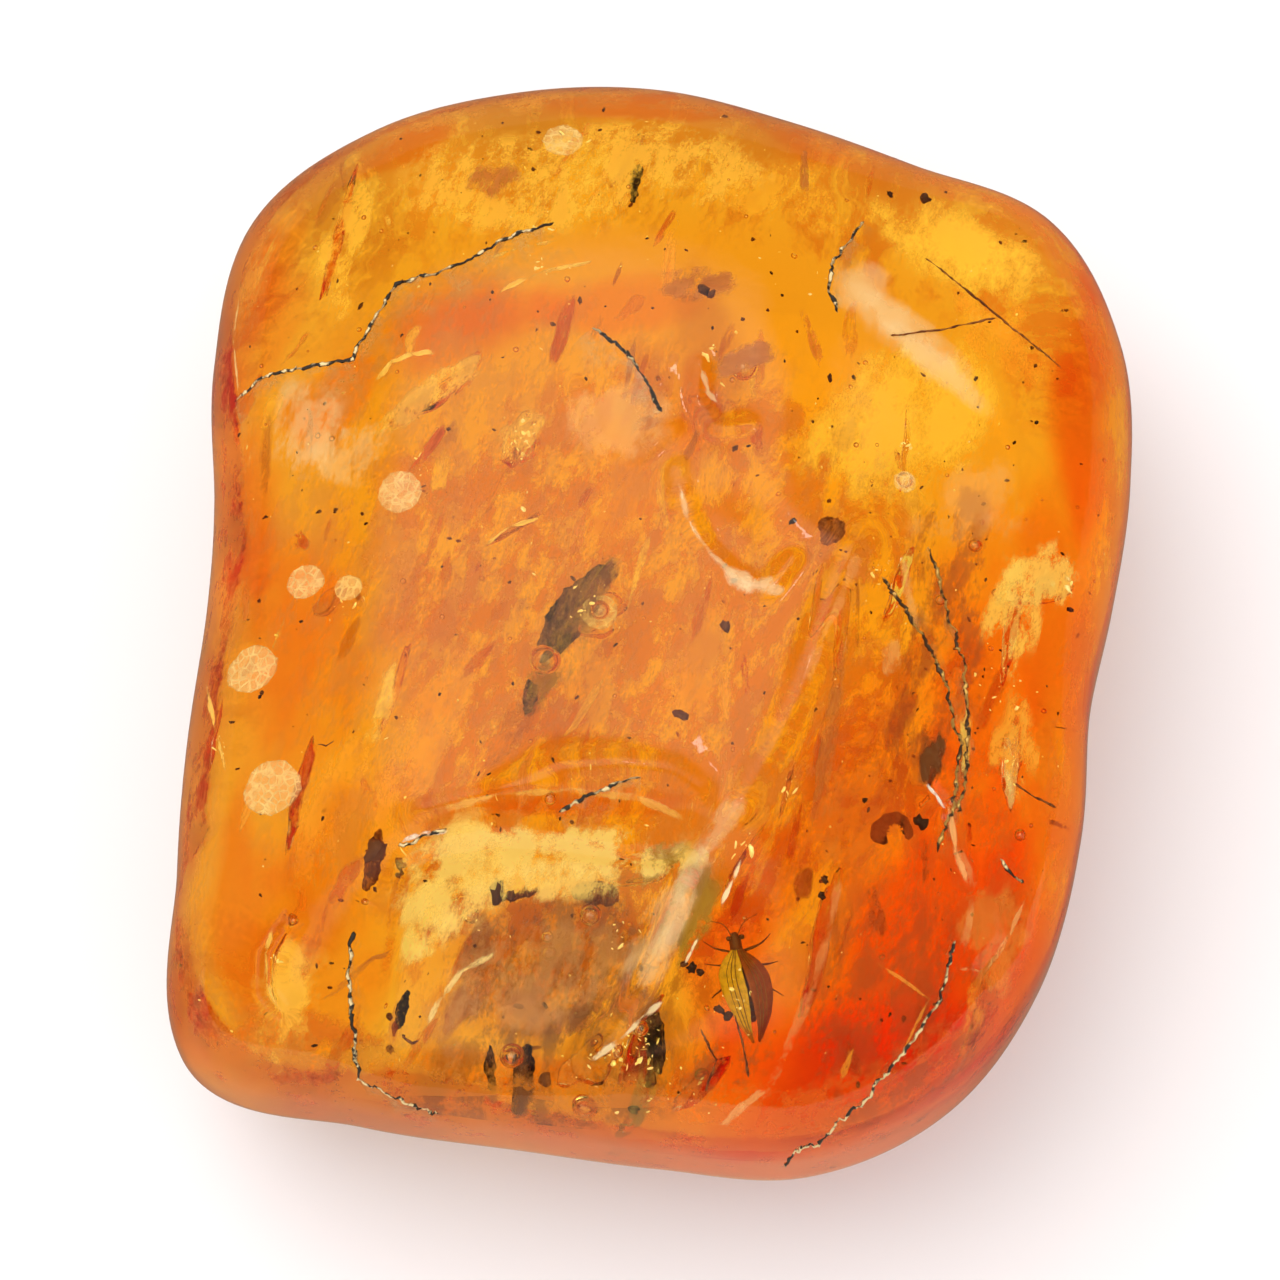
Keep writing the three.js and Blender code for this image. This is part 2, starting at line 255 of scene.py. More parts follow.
def inside_outline(x, y, corners):
    """Which places in plan lie inside a closed outline."""
    inside = np.zeros(x.shape, bool)
    for start, end in zip(corners, corners[1:] + corners[:1]):
        between = (start.y > y) != (end.y > y)
        crossing = start.x + (y - start.y) * (end.x - start.x) / ((end.y - start.y) or 1e-9)
        inside ^= between & (x < crossing)
    return inside


def relief(x, y):
    """The fine relief: lips, rims and pits along lines, and the sunk face of the front window."""
    rise = np.zeros_like(x)
    for pixels, half_width, height in RELIEF_LINES.values():
        points = [on_top(pixel) for pixel in pixels]
        away = np.min([line_distance(x, y, *pair) for pair in zip(points, points[1:])], axis=0)
        rise += height * np.exp(-(away / half_width) ** 2)
    corners = [on_top(pixel) for pixel in WINDOW_EDGE]
    away = np.min([line_distance(x, y, *pair) for pair in zip(corners, corners[1:] + corners[:1])], axis=0)
    depth = smooth_step(away / WINDOW_SLOPE) * inside_outline(x, y, corners)
    fade = smooth_step((y - WINDOW_FADE[1]) / (WINDOW_FADE[0] - WINDOW_FADE[1]))
    return rise - WINDOW_DROP * depth * fade


FINE_RELIEF = relief(*plan_grid()) * smooth_step((BASE_GRID - WIDEST_LEVEL) / 3.0)
TOP_GRID += FINE_RELIEF


class Nodes:
    """The nodes of a material or world, added one by one and linked by socket name."""

    def __init__(self, name, kind="Material"):
        store = bpy.data.materials if kind == "Material" else bpy.data.worlds
        self.material = store.new(name)
        self.material.use_nodes = True
        self.tree = self.material.node_tree
        self.tree.nodes.clear()
        self.output = self.tree.nodes.new(f"ShaderNodeOutput{kind}")

    def add(self, kind, links=None, **settings):
        node = self.tree.nodes.new(f"ShaderNode{kind}")
        for name, value in settings.items():
            if hasattr(node, name):
                setattr(node, name, value)
            else:
                node.inputs[name.replace("_", " ").title()].default_value = value
        for name, source in (links or {}).items():
            self.tree.links.new(source, node.inputs[name])
        return node

    def finish(self, surface=None, volume=None):
        if surface:
            self.tree.links.new(surface, self.output.inputs["Surface"])
        if volume:
            self.tree.links.new(volume, self.output.inputs["Volume"])
        if hasattr(self.material.cycles, "emission_sampling"):
            self.material.cycles.emission_sampling = "NONE"
        return self.material

    def mirrored(self):
        """One where a surface is seen mirrored from outside, nought where it is seen directly or through."""
        path = self.add("LightPath")
        only = self.add("Math", {0: path.outputs["Is Glossy Ray"], 1: path.outputs["Is Transmission Ray"]},
                        operation="SUBTRACT", use_clamp=True)
        return only.outputs[0]

    def product(self, first, second, **settings):
        return self.add("Math", {0: first, 1: second}, operation="MULTIPLY", **settings).outputs[0]

    def scaled(self, value, factor, offset):
        """A value times a factor, plus an offset."""
        node = self.add("Math", {0: value}, operation="MULTIPLY_ADD")
        node.inputs[1].default_value = factor
        node.inputs[2].default_value = offset
        return node.outputs[0]

    def total(self, values):
        """The sum of several values."""
        result = values[0]
        for value in values[1:]:
            result = self.add("Math", {0: result, 1: value}, operation="ADD").outputs[0]
        return result


def amber_material(settings):
    """Clear polished resin: plain transmission and absorption, with hair-fine polishing marks."""
    nodes = Nodes("clear_amber")
    place = nodes.add("TexCoord").outputs["Object"]
    marks = nodes.add("TexNoise", {"Vector": place}, Scale=2600.0, Detail=2.0)
    swells = nodes.add("TexNoise", {"Vector": place}, Scale=260.0, Detail=3.0)
    low = nodes.add("Bump", {"Height": swells.outputs["Fac"]}, Strength=0.10, Distance=0.0006)
    fine = nodes.add("Bump", {"Height": marks.outputs["Fac"], "Normal": low.outputs["Normal"]},
                     Strength=0.03, Distance=0.0001)
    clear = nodes.add("BsdfPrincipled", {"Normal": fine.outputs["Normal"]}, Roughness=settings.roughness)
    clear.inputs["Base Color"].default_value = (1, 1, 1, 1)
    clear.inputs["IOR"].default_value = AMBER_IOR
    clear.inputs["Transmission Weight"].default_value = 1.0
    through = nodes.add("BsdfTransparent")
    path = nodes.add("LightPath")
    mix = nodes.add("MixShader", {0: path.outputs["Is Shadow Ray"], 1: clear.outputs[0],
                                  2: through.outputs[0]})
    soak = nodes.add("VolumeAbsorption")
    soak.inputs["Color"].default_value = (*settings.tint, 1)
    soak.inputs["Density"].default_value = settings.density
    return nodes.finish(mix.outputs[0], soak.outputs[0])


FRONT_EDGE = (-0.020, -0.028)  # levels in plan between which the floor brightens in the reflections
FRONT_GLOW = (0.28, 0.72)
# The floor seen through the nugget is a painted pool of light, standing in for the light the nugget gathers
# under itself
PAINTED_GLOW_EDGE = (0.017, 0.028)  # distances from the middle between which the gathered light fades
OPEN_FLOOR = (1, 0.97, 0.95)


def fade(nodes, value, start, end, low=0.0, high=1.0, soft=True):
    """A value's share of the way between two limits, as a number between a low and a high one."""
    share = nodes.add("MapRange", {"Value": value}, interpolation_type="SMOOTHSTEP" if soft else "LINEAR")
    for name, limit in (("From Min", start), ("From Max", end), ("To Min", low), ("To Max", high)):
        share.inputs[name].default_value = limit
    return share.outputs["Result"]


def floor_material(settings):
    """An overlit white floor, with a painted glow under the nugget, seen through it, that stands in for the
    light it gathers under itself.
    """
    nodes = Nodes("pale_floor")
    where = nodes.add("TexCoord").outputs["Object"]
    path = nodes.add("LightPath")
    paint = nodes.add("BsdfPrincipled", Roughness=0.8)
    paint.inputs["Base Color"].default_value = (*settings.floor_color, 1)
    paint.inputs["Emission Color"].default_value = (1, 0.84, 0.83, 1)
    paint.inputs["Emission Strength"].default_value = settings.floor_glow
    away = nodes.add("VectorMath", {0: where}, operation="LENGTH")
    # painted pool of light: seen through the nugget, the floor glows warmer and brighter near the middle
    tone = nodes.add("Mix", {"Factor": fade(nodes, away.outputs["Value"], *PAINTED_GLOW_EDGE)}, data_type="RGBA")
    tone.inputs["A"].default_value = (*settings.painted_glow_color, 1)
    tone.inputs["B"].default_value = (*OPEN_FLOOR, 1)
    through = nodes.add("Emission", {"Color": tone.outputs["Result"]})
    seen = nodes.add("MixShader", {0: path.outputs["Is Transmission Ray"], 1: paint.outputs[0],
                                   2: through.outputs[0]})
    place = nodes.add("SeparateXYZ", {0: where})
    front = fade(nodes, place.outputs["Y"], *FRONT_EDGE, *FRONT_GLOW, soft=False)
    mirrored = nodes.add("Emission", {"Strength": front})
    mirrored.inputs["Color"].default_value = (1, 0.76, 0.56, 1)
    mix = nodes.add("MixShader", {0: nodes.mirrored(), 1: seen.outputs[0], 2: mirrored.outputs[0]})
    return nodes.finish(mix.outputs[0])


def add_object(name, mesh, material):
    piece = bpy.data.objects.new(name, mesh)
    bpy.context.collection.objects.link(piece)
    mesh.materials.append(material)
    return piece


def smooth_mesh(name, bm):
    """A bmesh in millimetres as a smooth shaded mesh in metres."""
    bmesh.ops.scale(bm, vec=(MM, MM, MM), verts=bm.verts)
    mesh = bpy.data.meshes.new(name)
    bm.to_mesh(mesh)
    bm.free()
    mesh.polygons.foreach_set("use_smooth", [True] * len(mesh.polygons))
    mesh.update()
    return mesh


class AmberSettings(bpy.types.PropertyGroup):
    tint: bpy.props.FloatVectorProperty(
        name="Tint", description="Colour that the resin lets through over its depth", subtype="COLOR",
        size=3, default=(0.987, 0.852, 0.02), min=0, max=1)
    density: bpy.props.FloatProperty(
        name="Density", description="Absorption of the resin per metre", default=230.0, min=0)
    roughness: bpy.props.FloatProperty(
        name="Roughness", description="Roughness of the polish", subtype="FACTOR", default=0.03, min=0, max=1)


class StageSettings(bpy.types.PropertyGroup):
    floor_color: bpy.props.FloatVectorProperty(
        name="Floor", description="Colour of the plain floor", subtype="COLOR", size=3,
        default=(0.73, 0.71, 0.71), min=0, max=1)
    floor_glow: bpy.props.FloatProperty(
        name="Floor glow", description="How overlit the floor is", default=0.21)
    # colour of the painted glow that stands in for the light the nugget gathers under itself
    painted_glow_color: bpy.props.FloatVectorProperty(
        name="Gathered light", description="Floor as seen through the nugget, which gathers light under it",
        subtype="COLOR", size=3, default=(1.0, 0.62, 0.48), min=0, max=1)
    sky: bpy.props.FloatProperty(
        name="Sky", description="Brightness of the even surrounding light", default=0.9)


# Soft zones of light: direction, half width of the zone and its soft edge in radians, and strength.
# The first list is what the polish mirrors, the second is what lights the floor and the resin
MIRRORED_ZONES = (
    ((-0.12, 0.38, 0.92), 0.08, 0.36, 0.85),
    ((-0.15, -0.45, 0.88), 0.10, 0.30, 0.40),
    ((-0.85, 0.30, 0.40), 0.05, 0.50, 0.12),
    ((0.03, 0.30, 0.95), 0.016, 0.012, 6.0),
)
MIRRORED_BASE = 0.05
SKY_ZONES = (((-0.45, 0.32, 0.83), 0.20, 0.50, 2.6),)


class AMBER_OT_stage(bpy.types.Operator):
    """Adds the pale floor, the soft light around it and the camera"""
    bl_idname = "amber.stage"
    bl_label = "Stage"

    def execute(self, context):
        settings = context.scene.amber_stage
        bm = bmesh.new()
        bmesh.ops.create_grid(bm, x_segments=1, y_segments=1, size=1.5)
        bmesh.ops.translate(bm, vec=(0, 0, -0.00003), verts=bm.verts)
        mesh = bpy.data.meshes.new("floor")
        bm.to_mesh(mesh)
        bm.free()
        add_object("floor", mesh, floor_material(settings))
        self.surround(context.scene, settings.sky)
        self.camera(context.scene)
        return {"FINISHED"}

    def zones(self, nodes, listed, base):
        """A brightness by direction: a base and what the zones add to it."""
        way = nodes.add("TexCoord").outputs["Generated"]
        parts = [nodes.add("Value").outputs[0]]
        parts[0].default_value = base
        for direction, inner, soft, strength in listed:
            facing = nodes.add("VectorMath", {0: way}, operation="DOT_PRODUCT")
            facing.inputs[1].default_value = Vector(direction).normalized()
            outside = math.cos(inner + soft)
            parts.append(fade(nodes, facing.outputs["Value"], outside, math.cos(inner), 0.0, strength))
        return nodes.total(parts)

    def surround(self, scene, brightness):
        """Soft light from all around, of which the polish mirrors only some zones."""
        nodes = Nodes("soft_light", "World")
        mirrored = nodes.add("Background", {"Strength": self.zones(nodes, MIRRORED_ZONES, MIRRORED_BASE)})
        mirrored.inputs["Color"].default_value = (1, 0.95, 0.93, 1)
        sky = nodes.add("Background", {"Strength": self.zones(nodes, SKY_ZONES, brightness)})
        sky.inputs["Color"].default_value = (1, 0.99, 0.98, 1)
        mix = nodes.add("MixShader", {0: nodes.mirrored(), 1: sky.outputs[0], 2: mirrored.outputs[0]})
        world = nodes.finish(mix.outputs[0])
        world.cycles.sampling_method = "NONE"
        scene.world = world

    def camera(self, scene):
        lens = bpy.data.cameras.new("camera")
        lens.lens = LENS
        lens.sensor_width = SENSOR
        lens.clip_start = 0.01
        holder = bpy.data.objects.new("camera", lens)
        holder.location = EYE * MM
        holder.rotation_euler = LOOK.to_track_quat("-Z", "Y").to_euler()
        bpy.context.collection.objects.link(holder)
        scene.camera = holder
        scene.view_settings.view_transform = "Standard"
        scene.cycles.max_bounces = 8
        scene.cycles.transmission_bounces = 7
        scene.cycles.transparent_max_bounces = 12
        scene.cycles.diffuse_bounces = 1
        scene.cycles.glossy_bounces = 4


# Colours of what lies in the resin
WHITE = (1.0, 0.93, 0.78)
CREAM = (1.0, 0.80, 0.44)
PEACH = (1.0, 0.53, 0.17)
PALE = (1.0, 0.76, 0.30)
HONEY = (1.0, 0.60, 0.10)
GOLD = (0.95, 0.42, 0.05)
OLIVE = (0.36, 0.22, 0.03)
BROWN = (0.52, 0.17, 0.05)
RUST = (0.72, 0.20, 0.025)
RED = (0.60, 0.085, 0.008)
WINE = (0.34, 0.05, 0.008)
COPPER = (0.91, 0.32, 0.03)
EMBER = (0.94, 0.22, 0.012)
TAN = (0.55, 0.34, 0.26)
SUN = (1.0, 0.70, 0.16)
DUSK = (0.62, 0.20, 0.02)
CINNABAR = (0.85, 0.14, 0.008)
DARK = (0.16, 0.05, 0.015)

# Darker flows that tint the light, and cloudy veils that scatter it, some of them painted highlights:
# the pixel of the middle, half length and half width in millimetres, the turn of the length in degrees,
# the depth below the top in millimetres, the colour, how dense it is and how far it is torn into streaks
FLOWS = (
    ((1090, 430), (9.5, 1.8), 88, 4.5, COPPER, 0.7, 0.3),
    ((1050, 220), (5.5, 1.4), -50, 4.5, COPPER, 0.8, 0.3),
    ((1020, 860), (6.5, 2.8), 78, 5.0, EMBER, 0.85, 0.4),
    ((900, 950), (8.5, 6.0), 66, 6.0, EMBER, 1.0, 0.3),
    ((980, 1010), (7.5, 3.2), 66, 3.4, DUSK, 0.7, 0.8),
    ((860, 1110), (6.0, 2.4), 20, 3.0, DUSK, 0.8, 0.8),
    ((990, 690), (12.0, 5.4), 84, 5.0, EMBER, 1.0, 0.4),
    ((960, 920), (10.0, 7.0), 76, 5.0, EMBER, 1.0, 0.35),
    ((1070, 640), (12.0, 2.4), 86, 3.0, COPPER, 0.8, 0.4),
    ((840, 1090), (12.0, 4.5), 16, 4.0, EMBER, 1.0, 0.35),
    ((840, 1060), (10.0, 4.2), 16, 5.0, EMBER, 1.0, 0.25),
    ((760, 900), (5.5, 2.6), 70, 5.0, COPPER, 1.0, 0.4),
    ((620, 1085), (5.0, 2.4), 8, 6.0, TAN, 0.8, 0.6),
    ((720, 960), (4.5, 3.2), 70, 6.0, EMBER, 0.8, 0.5),
    ((235, 900), (6.5, 1.6), 84, 5.0, COPPER, 0.8, 0.4),
    ((230, 540), (6.5, 1.6), 88, 5.0, COPPER, 0.8, 0.4),
    ((270, 270), (4.6, 1.8), 70, 5.0, COPPER, 0.85, 0.5),
    ((400, 150), (4.0, 1.4), 30, 4.5, COPPER, 0.8, 0.4),
    ((640, 105), (7.0, 1.3), 0, 3.5, COPPER, 0.8, 0.3),
    ((820, 150), (5.0, 1.3), -24, 4.0, COPPER, 0.7, 0.4),
    ((470, 320), (6.0, 2.6), 4, 5.5, COPPER, 0.85, 0.3),
    ((620, 300), (5.5, 2.2), 0, 5.5, COPPER, 0.7, 0.5),
    ((700, 420), (4.0, 2.2), 80, 5.5, COPPER, 0.6, 0.4),
    ((560, 810), (6.5, 0.7), 0, 2.2, COPPER, 0.8, 0.2),
    ((545, 960), (7.0, 4.6), 8, 3.5, TAN, 1.0, 0.5),
    ((280, 640), (9.0, 4.2), 84, 5.0, COPPER, 1.0, 0.5),
    ((300, 940), (7.0, 4.2), 84, 5.0, COPPER, 0.7, 0.5),
    ((420, 330), (7.0, 3.2), 20, 4.5, DUSK, 0.5, 0.8),
    ((705, 370), (5.6, 3.4), 82, 3.0, TAN, 0.8, 0.6),
    ((400, 620), (5.0, 2.2), 66, 3.0, DUSK, 0.5, 1.0),
    ((560, 700), (5.0, 2.6), 60, 3.5, DUSK, 0.45, 1.0),
    ((250, 330), (6.0, 2.4), 76, 3.0, COPPER, 0.7, 0.6),
    ((330, 850), (5.0, 2.2), 76, 3.0, DUSK, 0.5, 1.0),
    ((860, 760), (6.5, 3.2), 84, 4.0, EMBER, 0.7, 0.6),
    ((1082, 400), (10.0, 1.7), 88, 2.0, COPPER, 1.0, 0.1),
    ((330, 400), (3.5, 2.2), 70, 5.5, COPPER, 0.7, 0.6),
    ((500, 1100), (9.0, 1.4), -3, 3.0, COPPER, 0.9, 0.4),
)
VEILS_AND_PAINTED_HIGHLIGHTS = (
    # bright flows
    ((345, 245), (4.2, 1.2), 82, 3.4, HONEY, 0.7, 0.9),
    ((560, 175), (9.5, 3.4), 3, 2.6, HONEY, 0.65, 1.0),
    ((760, 190), (5.5, 2.0), -14, 5.0, HONEY, 0.55, 0.8),
    ((960, 250), (5.4, 2.6), -44, 4.5, SUN, 0.9, 0.3),
    ((1000, 330), (3.4, 1.6), -50, 4.5, GOLD, 0.8, 0.3),
    ((900, 430), (6.0, 4.4), 30, 5.5, SUN, 0.9, 0.4),
    ((430, 395), (3.6, 0.8), 34, 2.2, HONEY, 0.8, 0.9),
    ((520, 440), (1.6, 1.0), 60, 2.0, HONEY, 0.8, 1.0),
    ((385, 700), (2.6, 0.6), 74, 2.0, HONEY, 0.9, 0.6),
    ((430, 730), (6.0, 1.4), 66, 5.0, GOLD, 0.7, 0.8),
    ((330, 800), (4.0, 1.6), 70, 4.0, GOLD, 0.6, 0.8),
    ((285, 1010), (2.6, 1.6), 70, 2.4, HONEY, 0.75, 0.5),
    ((700, 660), (5.0, 1.6), 76, 5.0, GOLD, 0.6, 0.7),
    ((640, 470), (5.0, 3.0), 60, 6.0, GOLD, 0.5, 0.8),
    ((1010, 620), (3.0, 1.3), 80, 2.0, SUN, 0.7, 1.0),
    ((1036, 582), (2.6, 1.6), 40, 1.4, SUN, 0.7, 1.0),
    ((1015, 745), (2.6, 1.1), 82, 2.2, GOLD, 0.9, 0.9),
    ((965, 740), (1.7, 0.3), 86, 1.0, HONEY, 1.0, 0.5),
    ((985, 1020), (2.6, 0.6), 74, 3.0, GOLD, 0.7, 0.6),
    ((620, 640), (18.0, 16.0), 74, 6.4, RUST, 0.75, 1.0),
    ((600, 600), (18.0, 15.0), 70, 1.8, BROWN, 0.28, 1.15),
    ((900, 850), (10.0, 6.0), 80, 3.0, RED, 0.45, 1.1),
    ((560, 1080), (9.0, 3.0), 4, 2.2, DARK, 0.5, 1.15),
    ((550, 965), (6.0, 4.0), 8, 1.3, DARK, 0.6, 1.1),
    ((930, 640), (9.0, 2.6), 82, 1.8, WINE, 0.6, 1.1),
    ((900, 1010), (6.0, 4.5), 66, 2.2, WINE, 0.5, 1.15),
    ((420, 560), (8.0, 5.0), 66, 2.6, RUST, 0.5, 1.1),
    # the pale streak on the right facet: a painted highlight, a lamp's reflection laid just under the polish
    ((864, 294), (2.4, 1.7), -46, 0.25, CREAM, 0.32, 0.08),
    ((900, 328), (4.2, 1.5), -42, 0.25, CREAM, 0.34, 0.08),
    ((938, 368), (3.6, 1.1), -44, 0.25, CREAM, 0.34, 0.08),
    # the front window
    ((455, 882), (3.6, 2.2), 35, 0.7, SUN, 0.8, 0.7),
    ((540, 864), (7.4, 1.9), -3, 0.7, SUN, 0.7, 0.9),
    ((560, 852), (6.4, 1.2), -4, 0.5, SUN, 0.8, 1.0),
    ((520, 872), (4.6, 1.1), 6, 1.6, HONEY, 1.3, 0.5),
    ((425, 905), (1.6, 2.2), 40, 1.1, SUN, 1.0, 0.5),
    ((414, 948), (1.2, 1.0), 60, 1.2, SUN, 1.0, 0.5),
    ((655, 865), (2.2, 0.8), 24, 1.0, OLIVE, 0.9, 0.7),
    # painted reflection of the light on the window's sunk face
    ((540, 975), (5.8, 2.9), 8, 0.8, PEACH, 0.22, 1.0),
    ((480, 1030), (4.0, 1.6), 0, 1.0, BROWN, 0.35, 1.0),
    # painted reflection along the window's crest
    ((660, 930), (3.6, 1.2), 64, 0.5, CREAM, 0.26, 0.5),
    ((692, 925), (2.8, 1.0), 72, 2.6, OLIVE, 0.9, 1.0),
    ((480, 985), (3.0, 0.8), 50, 2.0, BROWN, 0.8, 1.0),
    ((590, 1010), (3.0, 1.2), 20, 2.4, BROWN, 0.8, 1.0),
    # frosty patches near the polish
    ((305, 425), (2.5, 2.4), 75, 0.7, CREAM, 0.3, 0.9),
    ((350, 450), (1.8, 2.0), 70, 1.0, CREAM, 0.25, 0.9),
    ((622, 415), (2.8, 2.3), 0, 0.7, PEACH, 0.4, 0.6),
    ((968, 498), (3.2, 2.3), 8, 0.8, PEACH, 0.34, 0.5),
    ((995, 930), (2.6, 1.7), 84, 0.7, GOLD, 0.30, 1.0),
    ((892, 660), (1.2, 0.5), 84, 0.9, PEACH, 0.4, 1.0),
    ((910, 590), (1.5, 0.5), 100, 0.9, PEACH, 0.35, 0.8),
    # dark shreds
    ((565, 640), (4.4, 1.3), 62, 3.4, OLIVE, 0.7, 1.0),
    ((600, 590), (2.2, 0.5), 56, 2.6, DARK, 0.9, 1.0),
    ((520, 720), (3.4, 0.9), 62, 4.0, BROWN, 0.7, 1.0),
    ((740, 360), (2.0, 0.8), 8, 1.6, BROWN, 0.9, 0.8),
    ((700, 285), (2.4, 0.9), 4, 3.0, BROWN, 0.9, 0.9),
    ((495, 178), (1.4, 1.1), 20, 2.4, BROWN, 0.9, 0.8),
    ((830, 720), (5.0, 0.5), 84, 3.0, BROWN, 0.8, 0.9),
    ((930, 760), (1.5, 0.8), 88, 1.6, DARK, 1.1, 0.9),
    ((640, 1120), (2.2, 0.5), 64, 1.4, OLIVE, 0.5, 1.1),
    ((520, 1085), (2.0, 0.8), 80, 1.8, DARK, 0.8, 1.0),
    ((310, 1060), (4.5, 0.9), -4, 4.0, RUST, 0.9, 0.5),
)
# Narrow veils along lines, some of them painted highlights: pixels, half width in millimetres, depth, colour,
# how dense and how torn
RIBBONS_AND_PAINTED_HIGHLIGHTS = (
    (((838, 885), (830, 930), (812, 990), (790, 1040), (766, 1098)), 0.26, 0.6, PEACH, 0.24, 1.0),
    # painted reflection and highlight along the window's crest
    (((732, 816), (706, 850), (684, 890), (662, 940), (642, 988)), 0.7, 0.3, CREAM, 0.26, 0.5),
    (((592, 1060), (620, 1040), (642, 1018), (662, 1002)), 0.16, 0.2, CREAM, 0.8, 0.4),
    (((378, 378), (392, 362), (412, 354), (432, 352)), 0.16, 0.8, HONEY, 1.0, 0.4),
    (((484, 546), (508, 528), (538, 518)), 0.12, 0.8, HONEY, 1.0, 0.4),
    (((950, 812), (955, 850), (968, 886)), 0.20, 0.2, PEACH, 0.7, 0.3),
    (((928, 784), (936, 792), (944, 806)), 0.12, 0.1, WHITE, 1.0, 0.2),
    (((494, 950), (462, 968), (440, 998), (428, 1022)), 0.16, 0.5, PALE, 0.7, 0.9),
    # painted highlights on the window's crest
    (((742, 858), (733, 880), (722, 904)), 0.13, 0.15, CREAM, 1.0, 0.2),
    (((698, 938), (692, 950), (686, 962)), 0.10, 0.15, CREAM, 0.9, 0.2),
    (((272, 926), (264, 950), (264, 980), (274, 1004)), 0.15, 0.5, HONEY, 1.0, 0.4),
    (((498, 292), (540, 272), (588, 262)), 0.13, 0.9, HONEY, 1.0, 0.8),
    (((488, 258), (524, 246), (562, 240)), 0.13, 0.9, HONEY, 0.9, 0.9),
    (((962, 720), (966, 745), (964, 768)), 0.16, 0.4, HONEY, 1.2, 0.2),
    (((204, 690), (214, 730), (226, 772)), 0.14, 0.5, HONEY, 1.0, 0.6),
    # painted highlights on the dimple rims and along the right ridge
    (((680, 486), (688, 520), (708, 552), (738, 580)), 0.22, 0.12, CREAM, 0.42, 0.4),
    (((730, 572), (748, 586), (768, 588)), 0.6, 0.12, CREAM, 0.5, 0.6),
    (((702, 372), (708, 392), (716, 402)), 0.16, 0.12, CREAM, 0.45, 0.3),
    (((858, 556), (846, 590), (822, 640), (806, 680)), 0.3, 0.15, PEACH, 0.25, 0.6),
    (((903, 560), (908, 590), (914, 622)), 0.3, 0.5, PEACH, 0.3, 0.9),
    (((238, 300), (232, 340), (238, 392)), 0.08, 0.2, PALE, 0.6, 0.8),
    (((430, 812), (500, 797), (570, 792), (640, 800), (690, 824)), 0.2, 0.15, HONEY, 0.45, 0.6),
    (((400, 842), (420, 834), (446, 832)), 0.14, 0.15, WHITE, 0.8, 0.9),
    (((960, 850), (975, 890), (962, 960)), 0.22, 0.4, PEACH, 0.35, 0.9),
    (((958, 968), (985, 972), (1010, 935), (1026, 900)), 0.12, 0.3, PEACH, 0.5, 0.9),
    (((725, 1125), (742, 1108), (764, 1092)), 0.2, 0.3, PEACH, 0.5, 0.9),
    (((880, 965), (930, 1000), (905, 1050)), 0.10, 0.8, GOLD, 0.6, 0.9),
)
VEIL_CELLS = 12
# how strongly the cloudy veils glow in their own colour: painted light that stands in for the light they
# scatter
PAINTED_VEIL_GLOW = 0.42
SHRED_STRETCH = 1.8
SHREDS_PER_METRE = 600.0
SHRED_SWING = 1.7
WISP_COUNT = 140
FACET_LEFT, FACET_TOP, FACET_FOOT = 770, 190, 530  # the clear right facet has few wisps
FLOW_TURN = 72  # degrees in plan along which the resin flowed

# Sun spangles: pale round fissures, with their radius in millimetres and depth
SPANGLES = (
    ((400, 492), 0.95, 0.8), ((305, 582), 0.8, 0.9), ((251, 670), 1.1, 0.9), ((272, 788), 1.25, 0.9),
    ((348, 588), 0.6, 1.5), ((600, 612), 0.8, 3.0), ((905, 482), 0.5, 1.0), ((563, 140), 0.9, 1.0),
)

# Gas bubbles, left as real cavities in the resin: pixel, radius in millimetres and depth
BUBBLES = (
    ((470, 915), 0.42, 1.6), ((547, 938), 0.26, 1.6), ((549, 955), 0.3, 1.8), ((585, 1108), 0.5, 2.0),
    ((512, 1056), 0.55, 1.2), ((600, 610), 0.45, 2.6), ((550, 795), 0.26, 1.4), ((905, 480), 0.4, 1.4),
    ((1045, 585), 0.42, 1.8), ((1020, 835), 0.28, 1.2), ((590, 915), 0.5, 2.2), ((975, 545), 0.3, 1.6),
    ((940, 600), 0.24, 1.4), ((745, 368), 0.6, 2.0), ((293, 919), 0.36, 0.9), ((365, 902), 0.2, 0.7),
    ((545, 660), 0.7, 3.0), ((640, 1028), 0.36, 1.4), ((617, 1050), 0.3, 1.8), ((702, 1075), 0.3, 2.0),
)

# Cracks that reach the surface, as pixels along their line
CRACKS = {
    "upper_left": ((235, 402), (262, 378), (300, 368), (352, 360), (372, 322), (396, 284), (432, 274),
                   (470, 260), (505, 238), (555, 222)),
    "middle": ((592, 328), (628, 352), (650, 388), (662, 412)),
    "facet_edge": ((862, 222), (850, 238), (833, 262), (829, 290), (838, 312)),
    "flank_right": ((930, 545), (944, 600), (962, 660), (968, 720), (966, 780), (958, 810)),
    "flank_left": ((880, 575), (905, 610), (925, 640), (945, 680), (960, 740), (955, 800), (938, 850)),
    "window_corner": ((397, 846), (420, 838), (446, 830)),
    "window_top": ((640, 778), (600, 790), (560, 812)),
    "lower_left": ((352, 932), (349, 975), (353, 1030), (358, 1080), (395, 1100), (438, 1118)),
    "lower_right": ((955, 940), (940, 1000), (902, 1055), (868, 1098), (818, 1146), (784, 1166)),
    "right_edge": ((1000, 858), (1010, 872), (1024, 884)),
}
BROWN_CRACKS = {
    "facet_line": ((925, 258), (960, 285), (1000, 318), (1040, 350), (1062, 368)),
    "facet_branch": ((890, 336), (940, 330), (996, 318)),
    "flank_curve": ((1015, 783), (1030, 795), (1056, 808)),
    "insect_thread": ((735, 1015), (742, 1040), (749, 1078)),
    "front_thread": ((700, 1030), (716, 1060), (706, 1092)),
    "left_thread": ((334, 740), (326, 746), (318, 744)),
    "spangle_thread": ((402, 1036), (412, 1044), (420, 1040)),
}

